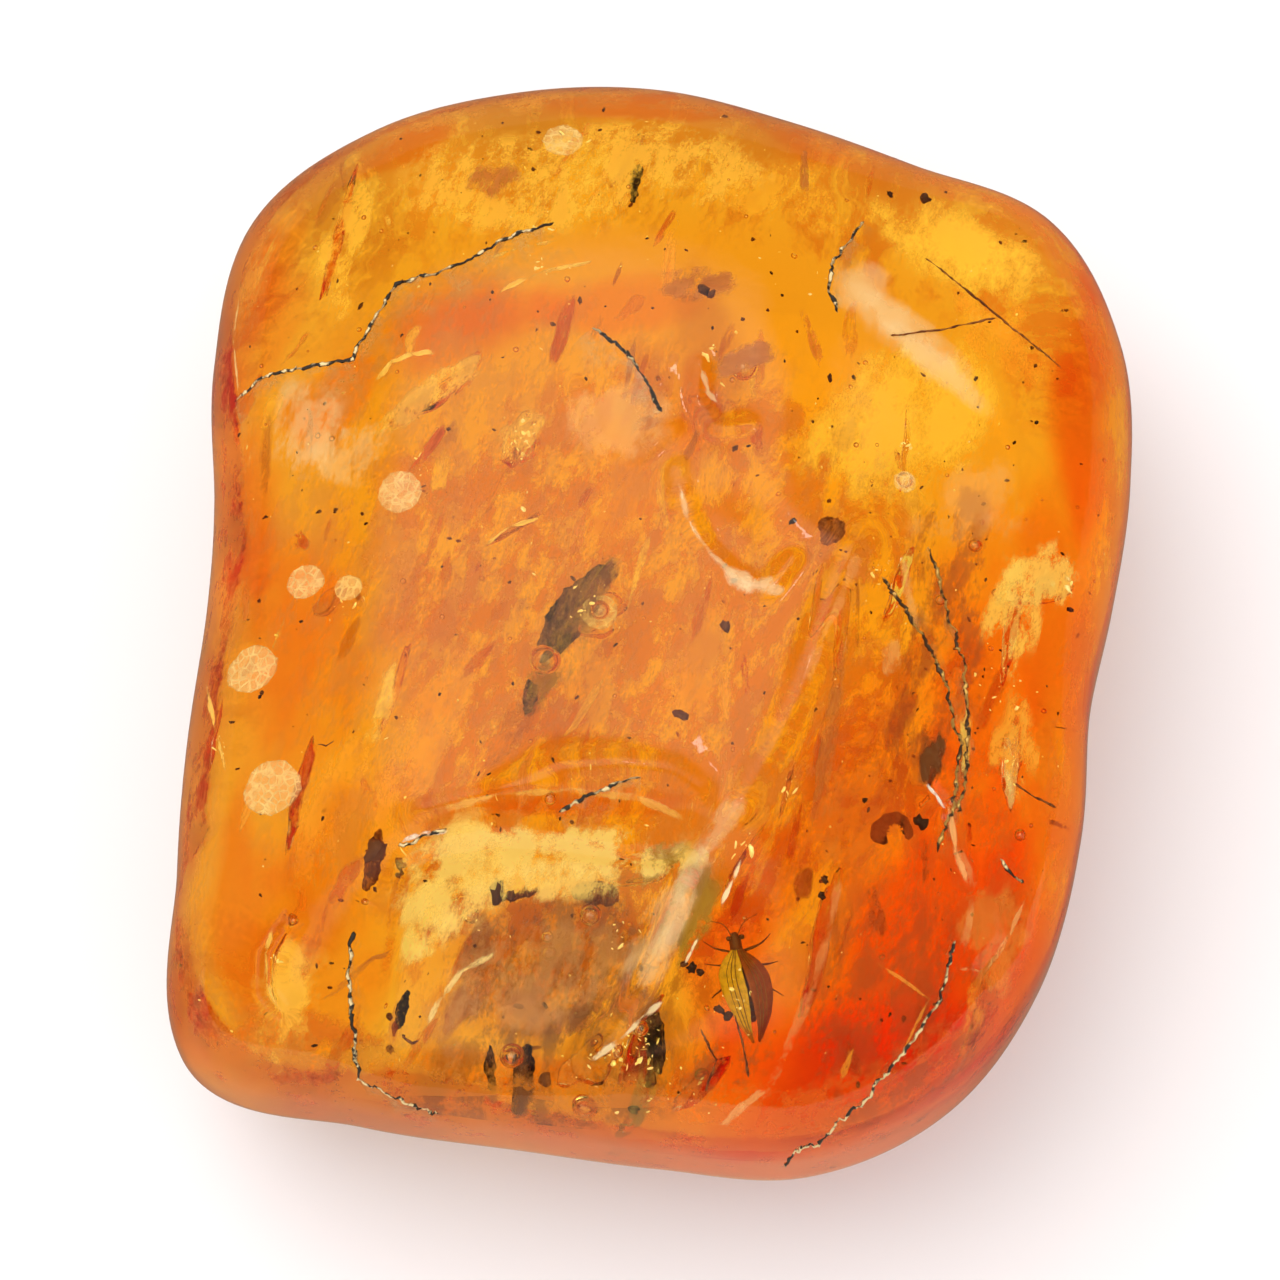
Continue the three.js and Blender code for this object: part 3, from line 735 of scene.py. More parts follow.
# Films of air where the resin has parted: pixel, depth, half length and half width in millimetres,
# the turn of the length in plan and the tilt about it, in degrees
FILMS = (
    ((520, 440), 3.0, (1.3, 0.8), 62, 40),
    ((430, 400), 3.0, (1.8, 0.6), 36, 50),
    ((600, 615), 4.0, (1.2, 0.9), 30, 35),
    ((512, 530), 2.6, (1.3, 0.25), 32, 60),
    ((905, 450), 3.0, (1.6, 0.35), 84, 65),
    ((1010, 640), 3.4, (2.2, 0.6), 80, 60),
    ((1038, 590), 2.4, (1.6, 0.7), 12, 45),
    ((1012, 760), 3.0, (2.0, 0.7), 86, 60),
    ((965, 740), 2.2, (1.6, 0.3), 86, 60),
    ((785, 790), 3.4, (1.2, 0.3), 80, 60),
    ((742, 860), 3.0, (1.6, 0.3), 64, 60),
    ((640, 1035), 3.0, (1.8, 0.7), 60, 50),
    ((590, 1060), 3.2, (1.4, 0.6), 20, 45),
    ((700, 1085), 3.2, (1.5, 0.5), 40, 55),
    ((820, 940), 4.5, (3.0, 0.8), 76, 65),
    ((980, 1030), 3.4, (2.8, 0.6), 74, 65),
    ((640, 1100), 3.4, (1.8, 0.5), 66, 60),
    ((470, 880), 3.4, (1.8, 0.9), 20, 35),
    ((640, 870), 3.6, (1.6, 0.8), 10, 40),
    ((395, 690), 3.6, (2.0, 0.4), 74, 60),
    ((330, 600), 3.2, (0.9, 0.6), 40, 45),
    ((340, 230), 4.0, (3.0, 0.7), 80, 65),
    ((300, 790), 4.5, (2.4, 0.7), 78, 60),
    ((830, 620), 4.5, (2.6, 0.5), 84, 65),
    ((900, 580), 2.6, (1.6, 0.4), 66, 55),
    ((280, 970), 2.4, (1.5, 0.4), 76, 50),
    ((215, 740), 2.0, (1.5, 0.4), 80, 55),
)
FILM_HALF = 0.03
SHELL_SUBDIVISIONS = 7
MICRO_BUBBLES = 90
FINE_ABOVE = 0.35  # faces of the unit sphere above this level are split once more


RIM_LEVELS = (-0.75, 0.45)  # lowest and highest level of the rim haze, as a share of the form's height
RIM_RINGS = 9
RIM_STEPS = 160
RIM_INSET = 1.3
RIM_COVER = 0.55
WELD = 0.0005  # closes the seam of a grid that is bent round, in millimetres
INNER_SHARE = 0.965  # what lies in the resin stays inside this share of the outline


def plan_place(middle, along, across, turn, depth):
    """A point at a depth under the top, reached in plan from a middle point along a turned pair of axes."""
    x = middle.x + along * math.cos(turn) - across * math.sin(turn)
    y = middle.y + along * math.sin(turn) + across * math.cos(turn)
    share = math.hypot(x, y) / float(plan_radius(math.atan2(y, x)))
    if share > INNER_SHARE:
        x, y = x * INNER_SHARE / share, y * INNER_SHARE / share
    return Vector((x, y, max(top_height(x, y) - depth, 0.6)))


def torn_alpha(nodes, filters):
    """How dense a veil is at a place: eaten into fine shreds, or fading softly in a flow that filters."""
    streaks = nodes.add("Mapping", {"Vector": nodes.add("TexCoord").outputs["Object"]}, vector_type="TEXTURE")
    streaks.inputs["Rotation"].default_value = (0, 0, math.radians(FLOW_TURN))
    streaks.inputs["Scale"].default_value = (SHRED_STRETCH, 1.0, 1.0)
    fine = {"Detail": 2.0} if filters else {"Detail": 5.0, "Roughness": 0.75}
    cloud = nodes.add("TexNoise", {"Vector": streaks.outputs[0]}, Scale=SHREDS_PER_METRE, **fine)
    swing = nodes.scaled(cloud.outputs["Fac"], SHRED_SWING, -SHRED_SWING / 2)
    torn = nodes.add("Attribute", attribute_name="torn").outputs["Fac"]
    inward = nodes.add("Attribute", attribute_name="depth").outputs["Fac"]
    cover = nodes.add("Attribute", attribute_name="cover").outputs["Fac"]
    strength = nodes.scaled(torn, 0.9, 0.1) if filters else nodes.scaled(torn, 3.0, 0.8)
    shaken = nodes.product(swing, strength)
    rise = nodes.total([nodes.scaled(inward, 1.4, 0.0), shaken])
    body = fade(nodes, rise, 0.0, 1.1 if filters else 1.0)
    rim = fade(nodes, inward, 0.0, 0.5 if filters else 0.35)
    return nodes.product(nodes.product(body, rim), cover, use_clamp=True)


def veil_material(name, filters):
    """Cloudy resin that scatters light, with a painted glow in its own colour, or a darker flow of resin that
    only filters it.
    """
    nodes = Nodes(name)
    hue = nodes.add("Attribute", attribute_name="hue")
    alpha = torn_alpha(nodes, filters)
    resin = nodes.add("BsdfPrincipled", {"Base Color": hue.outputs["Color"], "Alpha": alpha},
                      Roughness=0.0 if filters else 0.55)
    if filters:
        resin.inputs["Transmission Weight"].default_value = 1.0
        resin.inputs["IOR"].default_value = 1.0
    else:
        # painted glow: the cloudy veils emit their own colour, though nothing lights them so
        nodes.tree.links.new(hue.outputs["Color"], resin.inputs["Emission Color"])
        resin.inputs["Emission Strength"].default_value = PAINTED_VEIL_GLOW
    return nodes.finish(resin.outputs[0])


def add_veil(bm, pixel, half, turn, depth, color, cover, torn, cells=VEIL_CELLS):
    """One patch that follows the top at a depth, with how deep each point lies in it kept for its shader."""
    layers = bm.verts.layers
    hue, density = layers.float_color["hue"], layers.float["cover"]
    tears, reach_in = layers.float["torn"], layers.float["depth"]
    middle = sunk(pixel, depth)
    turn = math.radians(turn)
    made = bmesh.ops.create_grid(bm, x_segments=cells, y_segments=cells, size=1)["verts"]
    outside = []
    for vert in made:
        ragged = 1.0 + 0.4 * noise.noise(Vector((vert.co.x * 1.6, vert.co.y * 1.6, middle.x)))
        inward = ragged - vert.co.length
        if inward < -0.25:
            outside.append(vert)
            continue
        vert[reach_in] = min(max(inward, 0), 1.4 - 0.9 * torn)
        vert[density] = cover
        vert[hue] = (*color, 1)
        vert[tears] = torn
        wave = min(0.5, depth * 0.4) * noise.noise(Vector((vert.co.x * 1.7, vert.co.y * 1.7, middle.y)))
        vert.co = plan_place(middle, vert.co.x * half[0], vert.co.y * half[1], turn, depth + wave)
    bmesh.ops.delete(bm, geom=outside, context="VERTS")


def add_ribbon(bm, pixels, half_width, *look):
    """A narrow veil along a line of pixels, as a chain of overlapping patches."""
    depth = look[0]
    for start, end in zip(pixels, pixels[1:]):
        reach = sunk(end, depth) - sunk(start, depth)
        middle = ((start[0] + end[0]) / 2, (start[1] + end[1]) / 2)
        half = (reach.length / 2 + half_width * 1.2, half_width)
        add_veil(bm, middle, half, math.degrees(math.atan2(reach.y, reach.x)), *look, cells=8)


class AMBER_OT_veils(bpy.types.Operator):
    """Adds the cloudy veils that the resin's flows left inside, and the painted highlights laid as veils
    under the polish
    """
    bl_idname = "amber.veils"
    bl_label = "Cloudy veils"

    def execute(self, context):
        for name, veils, filters in (("dark_flows", FLOWS, True), ("cloudy_veils", VEILS_AND_PAINTED_HIGHLIGHTS, False)):
            bm = bmesh.new()
            bm.verts.layers.float_color.new("hue")
            for layer in ("cover", "torn", "depth"):
                bm.verts.layers.float.new(layer)
            for veil in veils:
                add_veil(bm, *veil)
            if not filters:
                for ribbon in RIBBONS_AND_PAINTED_HIGHLIGHTS:
                    add_ribbon(bm, *ribbon)
                self.wisps(bm)
            piece = add_object(name, smooth_mesh(name, bm), veil_material(name, filters))
            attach(piece, "root")
        return {"FINISHED"}

    def wisps(self, bm):
        """Small seeded shreds of cloud, drawn out along the flow of the resin."""
        rng = np.random.default_rng(5)
        for _ in range(WISP_COUNT):
            pixel = (rng.uniform(230, 1080), rng.uniform(150, 1080))
            turn = (70 if pixel[0] < 700 else 84) + rng.normal(0, 14)
            half = (rng.uniform(0.6, 2.4), rng.uniform(0.12, 0.45))
            if FACET_LEFT < pixel[0] and FACET_TOP < pixel[1] < FACET_FOOT and rng.uniform() < 0.8:
                continue
            if pixel[0] > 690 and pixel[1] > 540:
                colors = (RUST, RED, RED, WINE, GOLD)
            else:
                colors = (HONEY, GOLD, RUST, RUST, BROWN, RED)
            color = colors[rng.integers(len(colors))]
            add_veil(bm, pixel, half, turn, rng.uniform(1.5, 6.0), color, rng.uniform(0.4, 0.9), 1.0)


def spangle_material():
    nodes = Nodes("sun_spangle")
    place = nodes.add("TexCoord").outputs["Object"]
    cells = nodes.add("TexVoronoi", {"Vector": place}, Scale=2600.0, feature="DISTANCE_TO_EDGE")
    grain = nodes.add("TexNoise", {"Vector": place}, Scale=1800.0, Detail=3.0)
    web = fade(nodes, cells.outputs["Distance"], 0.0, 0.12, 0.85, 0.35, soft=False)
    disc = nodes.add("BsdfPrincipled", {"Alpha": nodes.product(web, grain.outputs["Fac"])}, Roughness=0.35)
    disc.inputs["Base Color"].default_value = (1.0, 0.80, 0.42, 1)
    # painted glow: the spangles shine a pale gold of their own, though nothing lights them so
    disc.inputs["Emission Color"].default_value = (1.0, 0.72, 0.30, 1)
    disc.inputs["Emission Strength"].default_value = 0.45
    return nodes.finish(disc.outputs[0])


class AMBER_OT_rim_haze(bpy.types.Operator):
    """Adds the cloudy crust that lies in the resin just inside its sides"""
    bl_idname = "amber.rim_haze"
    bl_label = "Rim haze"

    def execute(self, context):
        bm = bmesh.new()
        hue = bm.verts.layers.float_color.new("hue")
        for layer in ("cover", "torn", "depth"):
            bm.verts.layers.float.new(layer)
        cover, torn, inward = (bm.verts.layers.float[layer] for layer in ("cover", "torn", "depth"))
        made = bmesh.ops.create_grid(bm, x_segments=RIM_STEPS, y_segments=RIM_RINGS - 1, size=1)["verts"]
        middle = (RIM_LEVELS[0] + RIM_LEVELS[1]) / 2
        swing = (RIM_LEVELS[1] - RIM_LEVELS[0]) / 2
        turns = np.array([math.pi * (vert.co.x + 1) for vert in made])
        levels = np.array([middle + swing * vert.co.y for vert in made])
        flat = np.sqrt(1 - levels ** 2)
        points = nugget_points(np.stack([flat * np.cos(turns), flat * np.sin(turns), levels], axis=1))
        for vert, level, (x, y, z) in zip(made, levels, points):
            share = 1 - RIM_INSET / math.hypot(x, y)
            tone = min(max(0.25 + 1.2 * noise.noise(Vector((x, y, z)) * 0.22), 0), 1)
            deep = min(max(0.5 + x / 20 - max(y, 0) / 30, 0), 1)
            vert[hue] = (*Vector(DUSK).lerp(Vector(GOLD), tone).lerp(Vector(CINNABAR), deep), 1)
            vert[cover] = RIM_COVER
            vert[torn] = 0.8
            vert[inward] = 1 - vert.co.y ** 2
            vert.co = (x * share, y * share, max(z, 0.4) - 0.3 * level * RIM_INSET)
        bmesh.ops.remove_doubles(bm, verts=made, dist=WELD)
        # the rim haze glows in its own colour like the cloudy veils, a painted glow
        piece = add_object("rim_haze", smooth_mesh("rim_haze", bm), veil_material("rim_haze", False))
        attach(piece, "root")
        return {"FINISHED"}


class AMBER_OT_spangles(bpy.types.Operator):
    """Adds the pale round stress fissures"""
    bl_idname = "amber.spangles"
    bl_label = "Sun spangles"

    def execute(self, context):
        bm = bmesh.new()
        for pixel, radius, depth in SPANGLES:
            middle = sunk(pixel, depth)
            disc = bmesh.ops.create_uvsphere(bm, u_segments=28, v_segments=8, radius=1)["verts"]
            for vert in disc:
                ragged = radius * (1 + 0.12 * noise.noise(vert.co * 3 + middle))
                lens = 0.05 * vert.co.z
                vert.co = plan_place(middle, vert.co.x * ragged, vert.co.y * ragged, 0.0, depth - lens)
        piece = add_object("sun_spangles", smooth_mesh("sun_spangles", bm), spangle_material())
        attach(piece, "root")
        return {"FINISHED"}


def add_blob(bm, middle, radius, rng, flat=1.0, subdivisions=1):
    """A small uneven lump, turned at random; gives its vertices."""
    turn = Euler(rng.uniform(0, 2 * math.pi, 3)).to_matrix()
    made = bmesh.ops.create_icosphere(bm, subdivisions=subdivisions, radius=1)["verts"]
    stretch = Vector((rng.uniform(0.8, 1.9), rng.uniform(0.6, 1.1), flat * rng.uniform(0.5, 1.0)))
    for vert in made:
        uneven = 1 + 0.8 * noise.noise(vert.co * 1.6 + middle * 7.0)
        local = Vector(a * b for a, b in zip(vert.co, stretch))
        vert.co = middle + turn @ (local * radius * uneven)
    return made


def scatter(rng, count, shallow, deep):
    """Places spread through the resin between two depths, inside the outline."""
    for _ in range(count):
        angle = rng.uniform(0, 2 * math.pi)
        share = math.sqrt(rng.uniform(0, 0.86))
        reach = float(plan_radius(angle)) * share
        x, y = reach * math.cos(angle), reach * math.sin(angle)
        depth = rng.uniform(shallow, deep)
        yield Vector((x, y, max(top_height(x, y) - depth, 2.5)))


def speck_material():
    nodes = Nodes("dark_dust")
    hue = nodes.add("Attribute", attribute_name="hue")
    speck = nodes.add("BsdfPrincipled", {"Base Color": hue.outputs["Color"]}, Roughness=0.8)
    return nodes.finish(speck.outputs[0])


SPECK_COUNT = 380
SPECKS = (
    ((793, 521), 0.16), ((735, 580), 0.1), ((765, 693), 0.08), ((865, 800), 0.14), ((692, 968), 0.3),
    ((700, 972), 0.2), ((684, 964), 0.18), ((474, 947), 0.12), ((518, 1008), 0.14), ((545, 1008), 0.14),
    ((497, 893), 0.34), ((510, 896), 0.3), ((720, 1010), 0.2), ((728, 1016), 0.2), ((925, 198), 0.28),
    ((890, 194), 0.22), ((958, 293), 0.1), ((976, 378), 0.1), ((830, 378), 0.2), ((735, 448), 0.16),
    ((748, 446), 0.12), ((660, 410), 0.12), ((545, 1080), 0.3), ((650, 1080), 0.3), ((858, 1085), 0.14),
    ((635, 1110), 0.3), ((560, 818), 0.1), ((572, 822), 0.12), ((825, 880), 0.2), ((822, 896), 0.18),
    ((704, 290), 0.26), ((712, 294), 0.2), ((585, 380), 0.1), ((390, 1050), 0.22), ((388, 1018), 0.2),
    ((725, 626), 0.22), ((680, 715), 0.3), ((375, 850), 0.5), ((920, 822), 0.34),
)


class AMBER_OT_specks(bpy.types.Operator):
    """Adds the dark dust and crumbs"""
    bl_idname = "amber.specks"
    bl_label = "Dust and crumbs"

    def execute(self, context):
        rng = np.random.default_rng(7)
        bm = bmesh.new()
        hue = bm.verts.layers.float_color.new("hue")
        lumps = [(sunk(pixel, 1.4), size) for pixel, size in SPECKS]
        lumps += [(place, rng.uniform(0.03, 0.11)) for place in scatter(rng, SPECK_COUNT, 0.4, 9.0)]
        for middle, size in lumps:
            shade = rng.uniform(0.3, 1.6)
            detail = 2 if size > 0.15 else 1
            for vert in add_blob(bm, middle, size, rng, subdivisions=detail):
                vert[hue] = (DARK[0] * shade, DARK[1] * shade, DARK[2] * shade, 1)
        piece = add_object("dust_and_crumbs", smooth_mesh("dust_and_crumbs", bm), speck_material())
        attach(piece, "root")
        return {"FINISHED"}


def glint_material():
    nodes = Nodes("gold_glint")
    flake = nodes.add("BsdfPrincipled", Roughness=0.25, Metallic=0.35)
    flake.inputs["Base Color"].default_value = (1.0, 0.88, 0.45, 1)
    # painted glints: the flakes glow gold of their own, though nothing lights them so
    flake.inputs["Emission Color"].default_value = (1.0, 0.78, 0.22, 1)
    flake.inputs["Emission Strength"].default_value = 0.6
    return nodes.finish(flake.outputs[0])


GLINT_COUNT = 260
# Clusters of bright flakes: pixel, spread in millimetres and how many
GLINT_CLUSTERS = (
    ((520, 440), 0.9, 26), ((525, 522), 0.8, 7), ((785, 790), 0.5, 10), ((745, 845), 0.5, 8),
    ((638, 1045), 1.0, 30), ((600, 1060), 1.0, 22), ((1010, 765), 0.7, 14), ((1000, 680), 1.2, 14),
    ((590, 600), 0.9, 10), ((545, 260), 1.4, 16), ((570, 140), 0.8, 8), ((420, 470), 0.8, 6),
    ((470, 920), 0.5, 8), ((610, 940), 0.9, 10), ((650, 1090), 1.2, 20), ((345, 600), 0.8, 10),
    ((880, 575), 0.6, 12), ((905, 445), 0.5, 12), ((1060, 575), 0.8, 10), ((735, 985), 0.6, 8),
    ((720, 350), 0.8, 6), ((700, 1090), 0.8, 8), ((220, 740), 0.6, 8), ((280, 960), 0.6, 8),
)


class AMBER_OT_glints(bpy.types.Operator):
    """Adds the bright flakes where small fissures catch the light: painted glints that glow gold in their own
    light
    """
    bl_idname = "amber.glints"
    bl_label = "Gold glints"

    def execute(self, context):
        rng = np.random.default_rng(11)
        bm = bmesh.new()
        for pixel, spread, count in GLINT_CLUSTERS:
            for _ in range(count):
                depth = rng.uniform(0.8, 2.2)
                aside = Vector(rng.normal(0, spread * 0.5, 3))
                middle = sunk(pixel, depth) + Vector((aside.x, aside.y * 1.3, 0))
                add_blob(bm, middle, 0.035 + 0.12 * rng.uniform() ** 4, rng, flat=0.3, subdivisions=2)
        for place in scatter(rng, GLINT_COUNT, 0.5, 6.0):
            add_blob(bm, place, rng.uniform(0.02, 0.07), rng, flat=0.3)
        piece = add_object("gold_glints", smooth_mesh("gold_glints", bm), glint_material())
        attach(piece, "root")
        return {"FINISHED"}


def crack_material(name, dark, pale, share):
    """A crack filled with dirt and air: dark and pale beads along the line."""
    nodes = Nodes(name)
    place = nodes.add("TexCoord").outputs["Object"]
    beads = nodes.add("TexNoise", {"Vector": place}, Scale=2400.0, Detail=2.0)
    ramp = fade(nodes, beads.outputs["Fac"], share - 0.04, share + 0.04)
    mix = nodes.add("Mix", {"Factor": ramp}, data_type="RGBA")
    mix.inputs["A"].default_value = (*dark, 1)
    mix.inputs["B"].default_value = (*pale, 1)
    dirt = nodes.add("BsdfPrincipled", {"Base Color": mix.outputs["Result"]}, Roughness=0.7)
    return nodes.finish(dirt.outputs[0])


def crack_line(pixels, depth, step=0.12, wander=0.09):
    """Points just under the polish along a crack, wandering a little."""
    corners = [sunk(pixel, depth) for pixel in pixels]
    line = []
    for start, end in zip(corners, corners[1:]):
        count = max(2, int((end - start).length / step))
        line += [start.lerp(end, k / count) for k in range(count)]
    line.append(corners[-1])
    shaken = []
    for point in line:
        aside = noise.noise_vector(point * 1.8) * wander * 1.4 + noise.noise_vector(point * 6.0) * wander
        x, y = point.x + aside.x, point.y + aside.y
        shaken.append(Vector((x, y, top_height(x, y) - depth)))
    return shaken


def curve_mesh(name, lines, radius, uneven=0.5):
    """Lines as round threads of uneven thickness, in one mesh in metres."""
    curve = bpy.data.curves.new(name, "CURVE")
    curve.dimensions = "3D"
    curve.bevel_depth = radius * MM
    curve.bevel_resolution = 1
    curve.use_fill_caps = True
    for line in lines:
        spline = curve.splines.new("POLY")
        spline.points.add(len(line) - 1)
        for knot, point in zip(spline.points, line):
            knot.co = (*(point * MM), 1)
            knot.radius = max(0.15, 1 + uneven * 2 * noise.noise(point * 3.1))
        spline.points[0].radius = spline.points[-1].radius = 0.2
    holder = bpy.data.objects.new(name, curve)
    bpy.context.collection.objects.link(holder)
    graph = bpy.context.evaluated_depsgraph_get()
    mesh = bpy.data.meshes.new_from_object(holder.evaluated_get(graph))
    bpy.data.objects.remove(holder)
    mesh.name = name
    return mesh


class AMBER_OT_cracks(bpy.types.Operator):
    """Adds the dirt-filled lines where cracks reach the polish"""
    bl_idname = "amber.cracks"
    bl_label = "Cracks"

    def execute(self, context):
        thin = [crack_line(pixels, 0.07) for name, pixels in CRACKS.items() if "flank" not in name]
        crusted = [crack_line(CRACKS[name], 0.09, wander=0.14) for name in ("flank_right", "flank_left")]
        brown = [crack_line(pixels, 0.12, wander=0.03) for pixels in BROWN_CRACKS.values()]
        looks = (
            ("dirty_cracks", thin, 0.075, (0.040, 0.030, 0.018), (0.80, 0.60, 0.28), 0.51),
            ("crusted_cracks", crusted, 0.075, (0.09, 0.045, 0.012), (0.75, 0.42, 0.08), 0.50),
            ("brown_cracks", brown, 0.045, (0.20, 0.05, 0.01), (0.42, 0.14, 0.03), 0.5),
        )
        for name, lines, radius, dark, pale, share in looks:
            piece = add_object(name, curve_mesh(name, lines, radius), crack_material(name, dark, pale, share))
            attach(piece, "root")
        return {"FINISHED"}


def fissure_material():
    """The wall of a fissure: a thin film of air that throws the light back."""
    nodes = Nodes("fissure_wall")
    place = nodes.add("TexCoord").outputs["Object"]
    film = nodes.add("TexNoise", {"Vector": place}, Scale=900.0, Detail=5.0, Roughness=0.65)
    torn = fade(nodes, film.outputs["Fac"], 0.42, 0.75, soft=False)
    cover = nodes.add("Attribute", attribute_name="cover")
    wall = nodes.add("BsdfPrincipled", {"Alpha": nodes.product(torn, cover.outputs["Fac"])}, Roughness=0.3)
    wall.inputs["Base Color"].default_value = (1.0, 0.78, 0.4, 1)
    return nodes.finish(wall.outputs[0])


# How far each fissure reaches in from its crack: sideways in plan and down, in millimetres
FISSURES = {
    "upper_left": (1.3, -2.2, -1.8), "middle": (-1.6, -1.4, -0.8), "facet_edge": (1.0, -0.6, -1.6),
    "flank_right": (-0.9, 0.0, -2.4), "flank_left": (0.7, 0.3, -2.2), "lower_left": (0.5, 0.1, -2.0),
    "lower_right": (-0.6, 0.5, -2.0), "window_top": (0.2, -0.8, -1.4),
}


class AMBER_OT_fissures(bpy.types.Operator):
    """Adds the fissures that lead in from the cracks"""
    bl_idname = "amber.fissures"
    bl_label = "Fissures"

    def execute(self, context):
        bm = bmesh.new()
        cover = bm.verts.layers.float.new("cover")
        for name, reach in FISSURES.items():
            line = crack_line(CRACKS[name], 0.1, step=0.25)
            verts = [bm.verts.new(point) for point in line]
            for vert in verts:
                vert[cover] = 0.75
            edges = [bm.edges.new(pair) for pair in zip(verts, verts[1:])]
            for ring in range(1, 4):
                made = bmesh.ops.extrude_edge_only(bm, edges=edges)["geom"]
                edges = [item for item in made
                         if isinstance(item, bmesh.types.BMEdge) and len(item.link_faces) == 1]
                for vert in {vert for edge in edges for vert in edge.verts}:
                    shake = noise.noise_vector(vert.co * 0.8) * 0.35
                    vert.co += Vector(reach) / 3 + shake
                    vert[cover] = 0.75 * (1 - ring / 3)
        piece = add_object("fissures", smooth_mesh("fissures", bm), fissure_material())
        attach(piece, "root")
        return {"FINISHED"}


class AMBER_OT_nugget(bpy.types.Operator):
    """Adds the one clear nugget that stands for the two parted halves"""
    bl_idname = "amber.nugget"
    bl_label = "Clear nugget"

    def execute(self, context):
        bm = bmesh.new()
        bmesh.ops.create_icosphere(bm, subdivisions=SHELL_SUBDIVISIONS, radius=1)
        upper = [edge for edge in bm.edges if all(v.co.z > FINE_ABOVE for v in edge.verts)]
        bmesh.ops.subdivide_edges(bm, edges=upper, cuts=1, use_grid_fill=True)
        bmesh.ops.triangulate(bm, faces=[face for face in bm.faces if len(face.verts) > 3])
        directions = np.array([v.co.normalized()[:] for v in bm.verts])
        for vert, point in zip(bm.verts, nugget_points(directions)):
            vert.co = point
            if point[2] > WIDEST_LEVEL:
                vert.co.z += read_grid(FINE_RELIEF, point[0], point[1])
        bmesh.ops.recalc_face_normals(bm, faces=bm.faces)
        cavities = bmesh.new()
        for pixel, radius, depth in BUBBLES:
            self.hollow(cavities, sunk(pixel, depth), radius)
        rng = np.random.default_rng(3)
        for place in scatter(rng, MICRO_BUBBLES, 0.6, 5.0):
            self.hollow(cavities, place, rng.uniform(0.05, 0.14), subdivisions=2)
        for pixel, depth, size, turn, tilt in FILMS:
            self.film(cavities, sunk(pixel, depth), size, turn, tilt, rng)
        hollows = bpy.data.meshes.new("cavities")
        cavities.to_mesh(hollows)
        cavities.free()
        bm.from_mesh(hollows)
        bpy.data.meshes.remove(hollows)
        mesh = smooth_mesh("amber", bm)
        piece = add_object("amber", mesh, amber_material(context.scene.amber_resin))
        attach(piece, "root")
        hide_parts("amber_lower", "amber_upper")
        return {"FINISHED"}

    def film(self, bm, middle, size, turn, tilt, rng):
        """A thin warped film of air, as a closed cavity, where the resin has parted."""
        made = bmesh.ops.create_icosphere(bm, subdivisions=3, radius=1)["verts"]
        aside = Euler((math.radians(tilt), 0, math.radians(turn))).to_matrix()
        seed = Vector(rng.uniform(0, 9, 3))
        for vert in made:
            ragged = 1 + 0.5 * noise.noise(vert.co * 1.3 + seed)
            x, y = vert.co.x * size[0] * ragged, vert.co.y * size[1] * ragged
            ripple = 0.12 * noise.noise(Vector((x, y, 0)) * 1.1 + seed)
            vert.co = middle + aside @ Vector((x, y, vert.co.z * FILM_HALF + ripple))
        bmesh.ops.reverse_faces(bm, faces=list({face for vert in made for face in vert.link_faces}))

    def hollow(self, bm, middle, radius, subdivisions=3):
        """A closed cavity in the resin, its faces turned into the hollow."""
        made = bmesh.ops.create_icosphere(bm, subdivisions=subdivisions, radius=radius)["verts"]
        squash = 1 + 0.25 * noise.noise(middle * 2.0)
        for vert in made:
            vert.co = middle + Vector((vert.co.x * squash, vert.co.y, vert.co.z * 0.8))
        faces = {face for vert in made for face in vert.link_faces}
        bmesh.ops.reverse_faces(bm, faces=list(faces))


def smooth_path(points, count):
    """Points evenly placed along a smooth line through the given ones."""
    knots = [Vector(point) for point in points]
    knots = [knots[0] * 2 - knots[1]] + knots + [knots[-1] * 2 - knots[-2]]
    line = []
    for k in range(count + 1):
        place = k / count * (len(points) - 1)
        index = min(int(place), len(points) - 2)
        t = place - index
        a, b, c, d = knots[index:index + 4]
        line.append(0.5 * (2 * b + (c - a) * t + (2 * a - 5 * b + 4 * c - d) * t ** 2
                           + (3 * b - a - 3 * c + d) * t ** 3))
    return line


def add_tube(bm, points, radii, sides=8, count=12, flat=1.0, up=(0, 0, 1), color=DARK, place=None):
    """A closed tube of changing thickness along a smooth line, flattened towards its up direction."""
    hue = bm.verts.layers.float_color["hue"]
    line = smooth_path(points, count)
    made = bmesh.ops.create_grid(bm, x_segments=sides, y_segments=count, size=1)["verts"]
    for vert in made:
        k = round((vert.co.y + 1) / 2 * count)
        angle = math.pi * (vert.co.x + 1)
        along = (line[min(k + 1, count)] - line[max(k - 1, 0)]).normalized()
        side = along.cross(Vector(up)).normalized()
        over = side.cross(along)
        radius = float(np.interp(k / count * (len(radii) - 1), range(len(radii)), radii))
        point = line[k] + side * (radius * math.cos(angle)) + over * (radius * flat * math.sin(angle))
        vert.co = place @ point if place else point
        vert[hue] = (*color, 1)
    bmesh.ops.remove_doubles(bm, verts=made, dist=WELD)
    ring_edges = {edge for vert in made if vert.is_valid for edge in vert.link_edges if edge.is_boundary}
    bmesh.ops.holes_fill(bm, edges=list(ring_edges), sides=sides)
    faces = {face for vert in made if vert.is_valid for face in vert.link_faces}
    bmesh.ops.recalc_face_normals(bm, faces=list(faces))


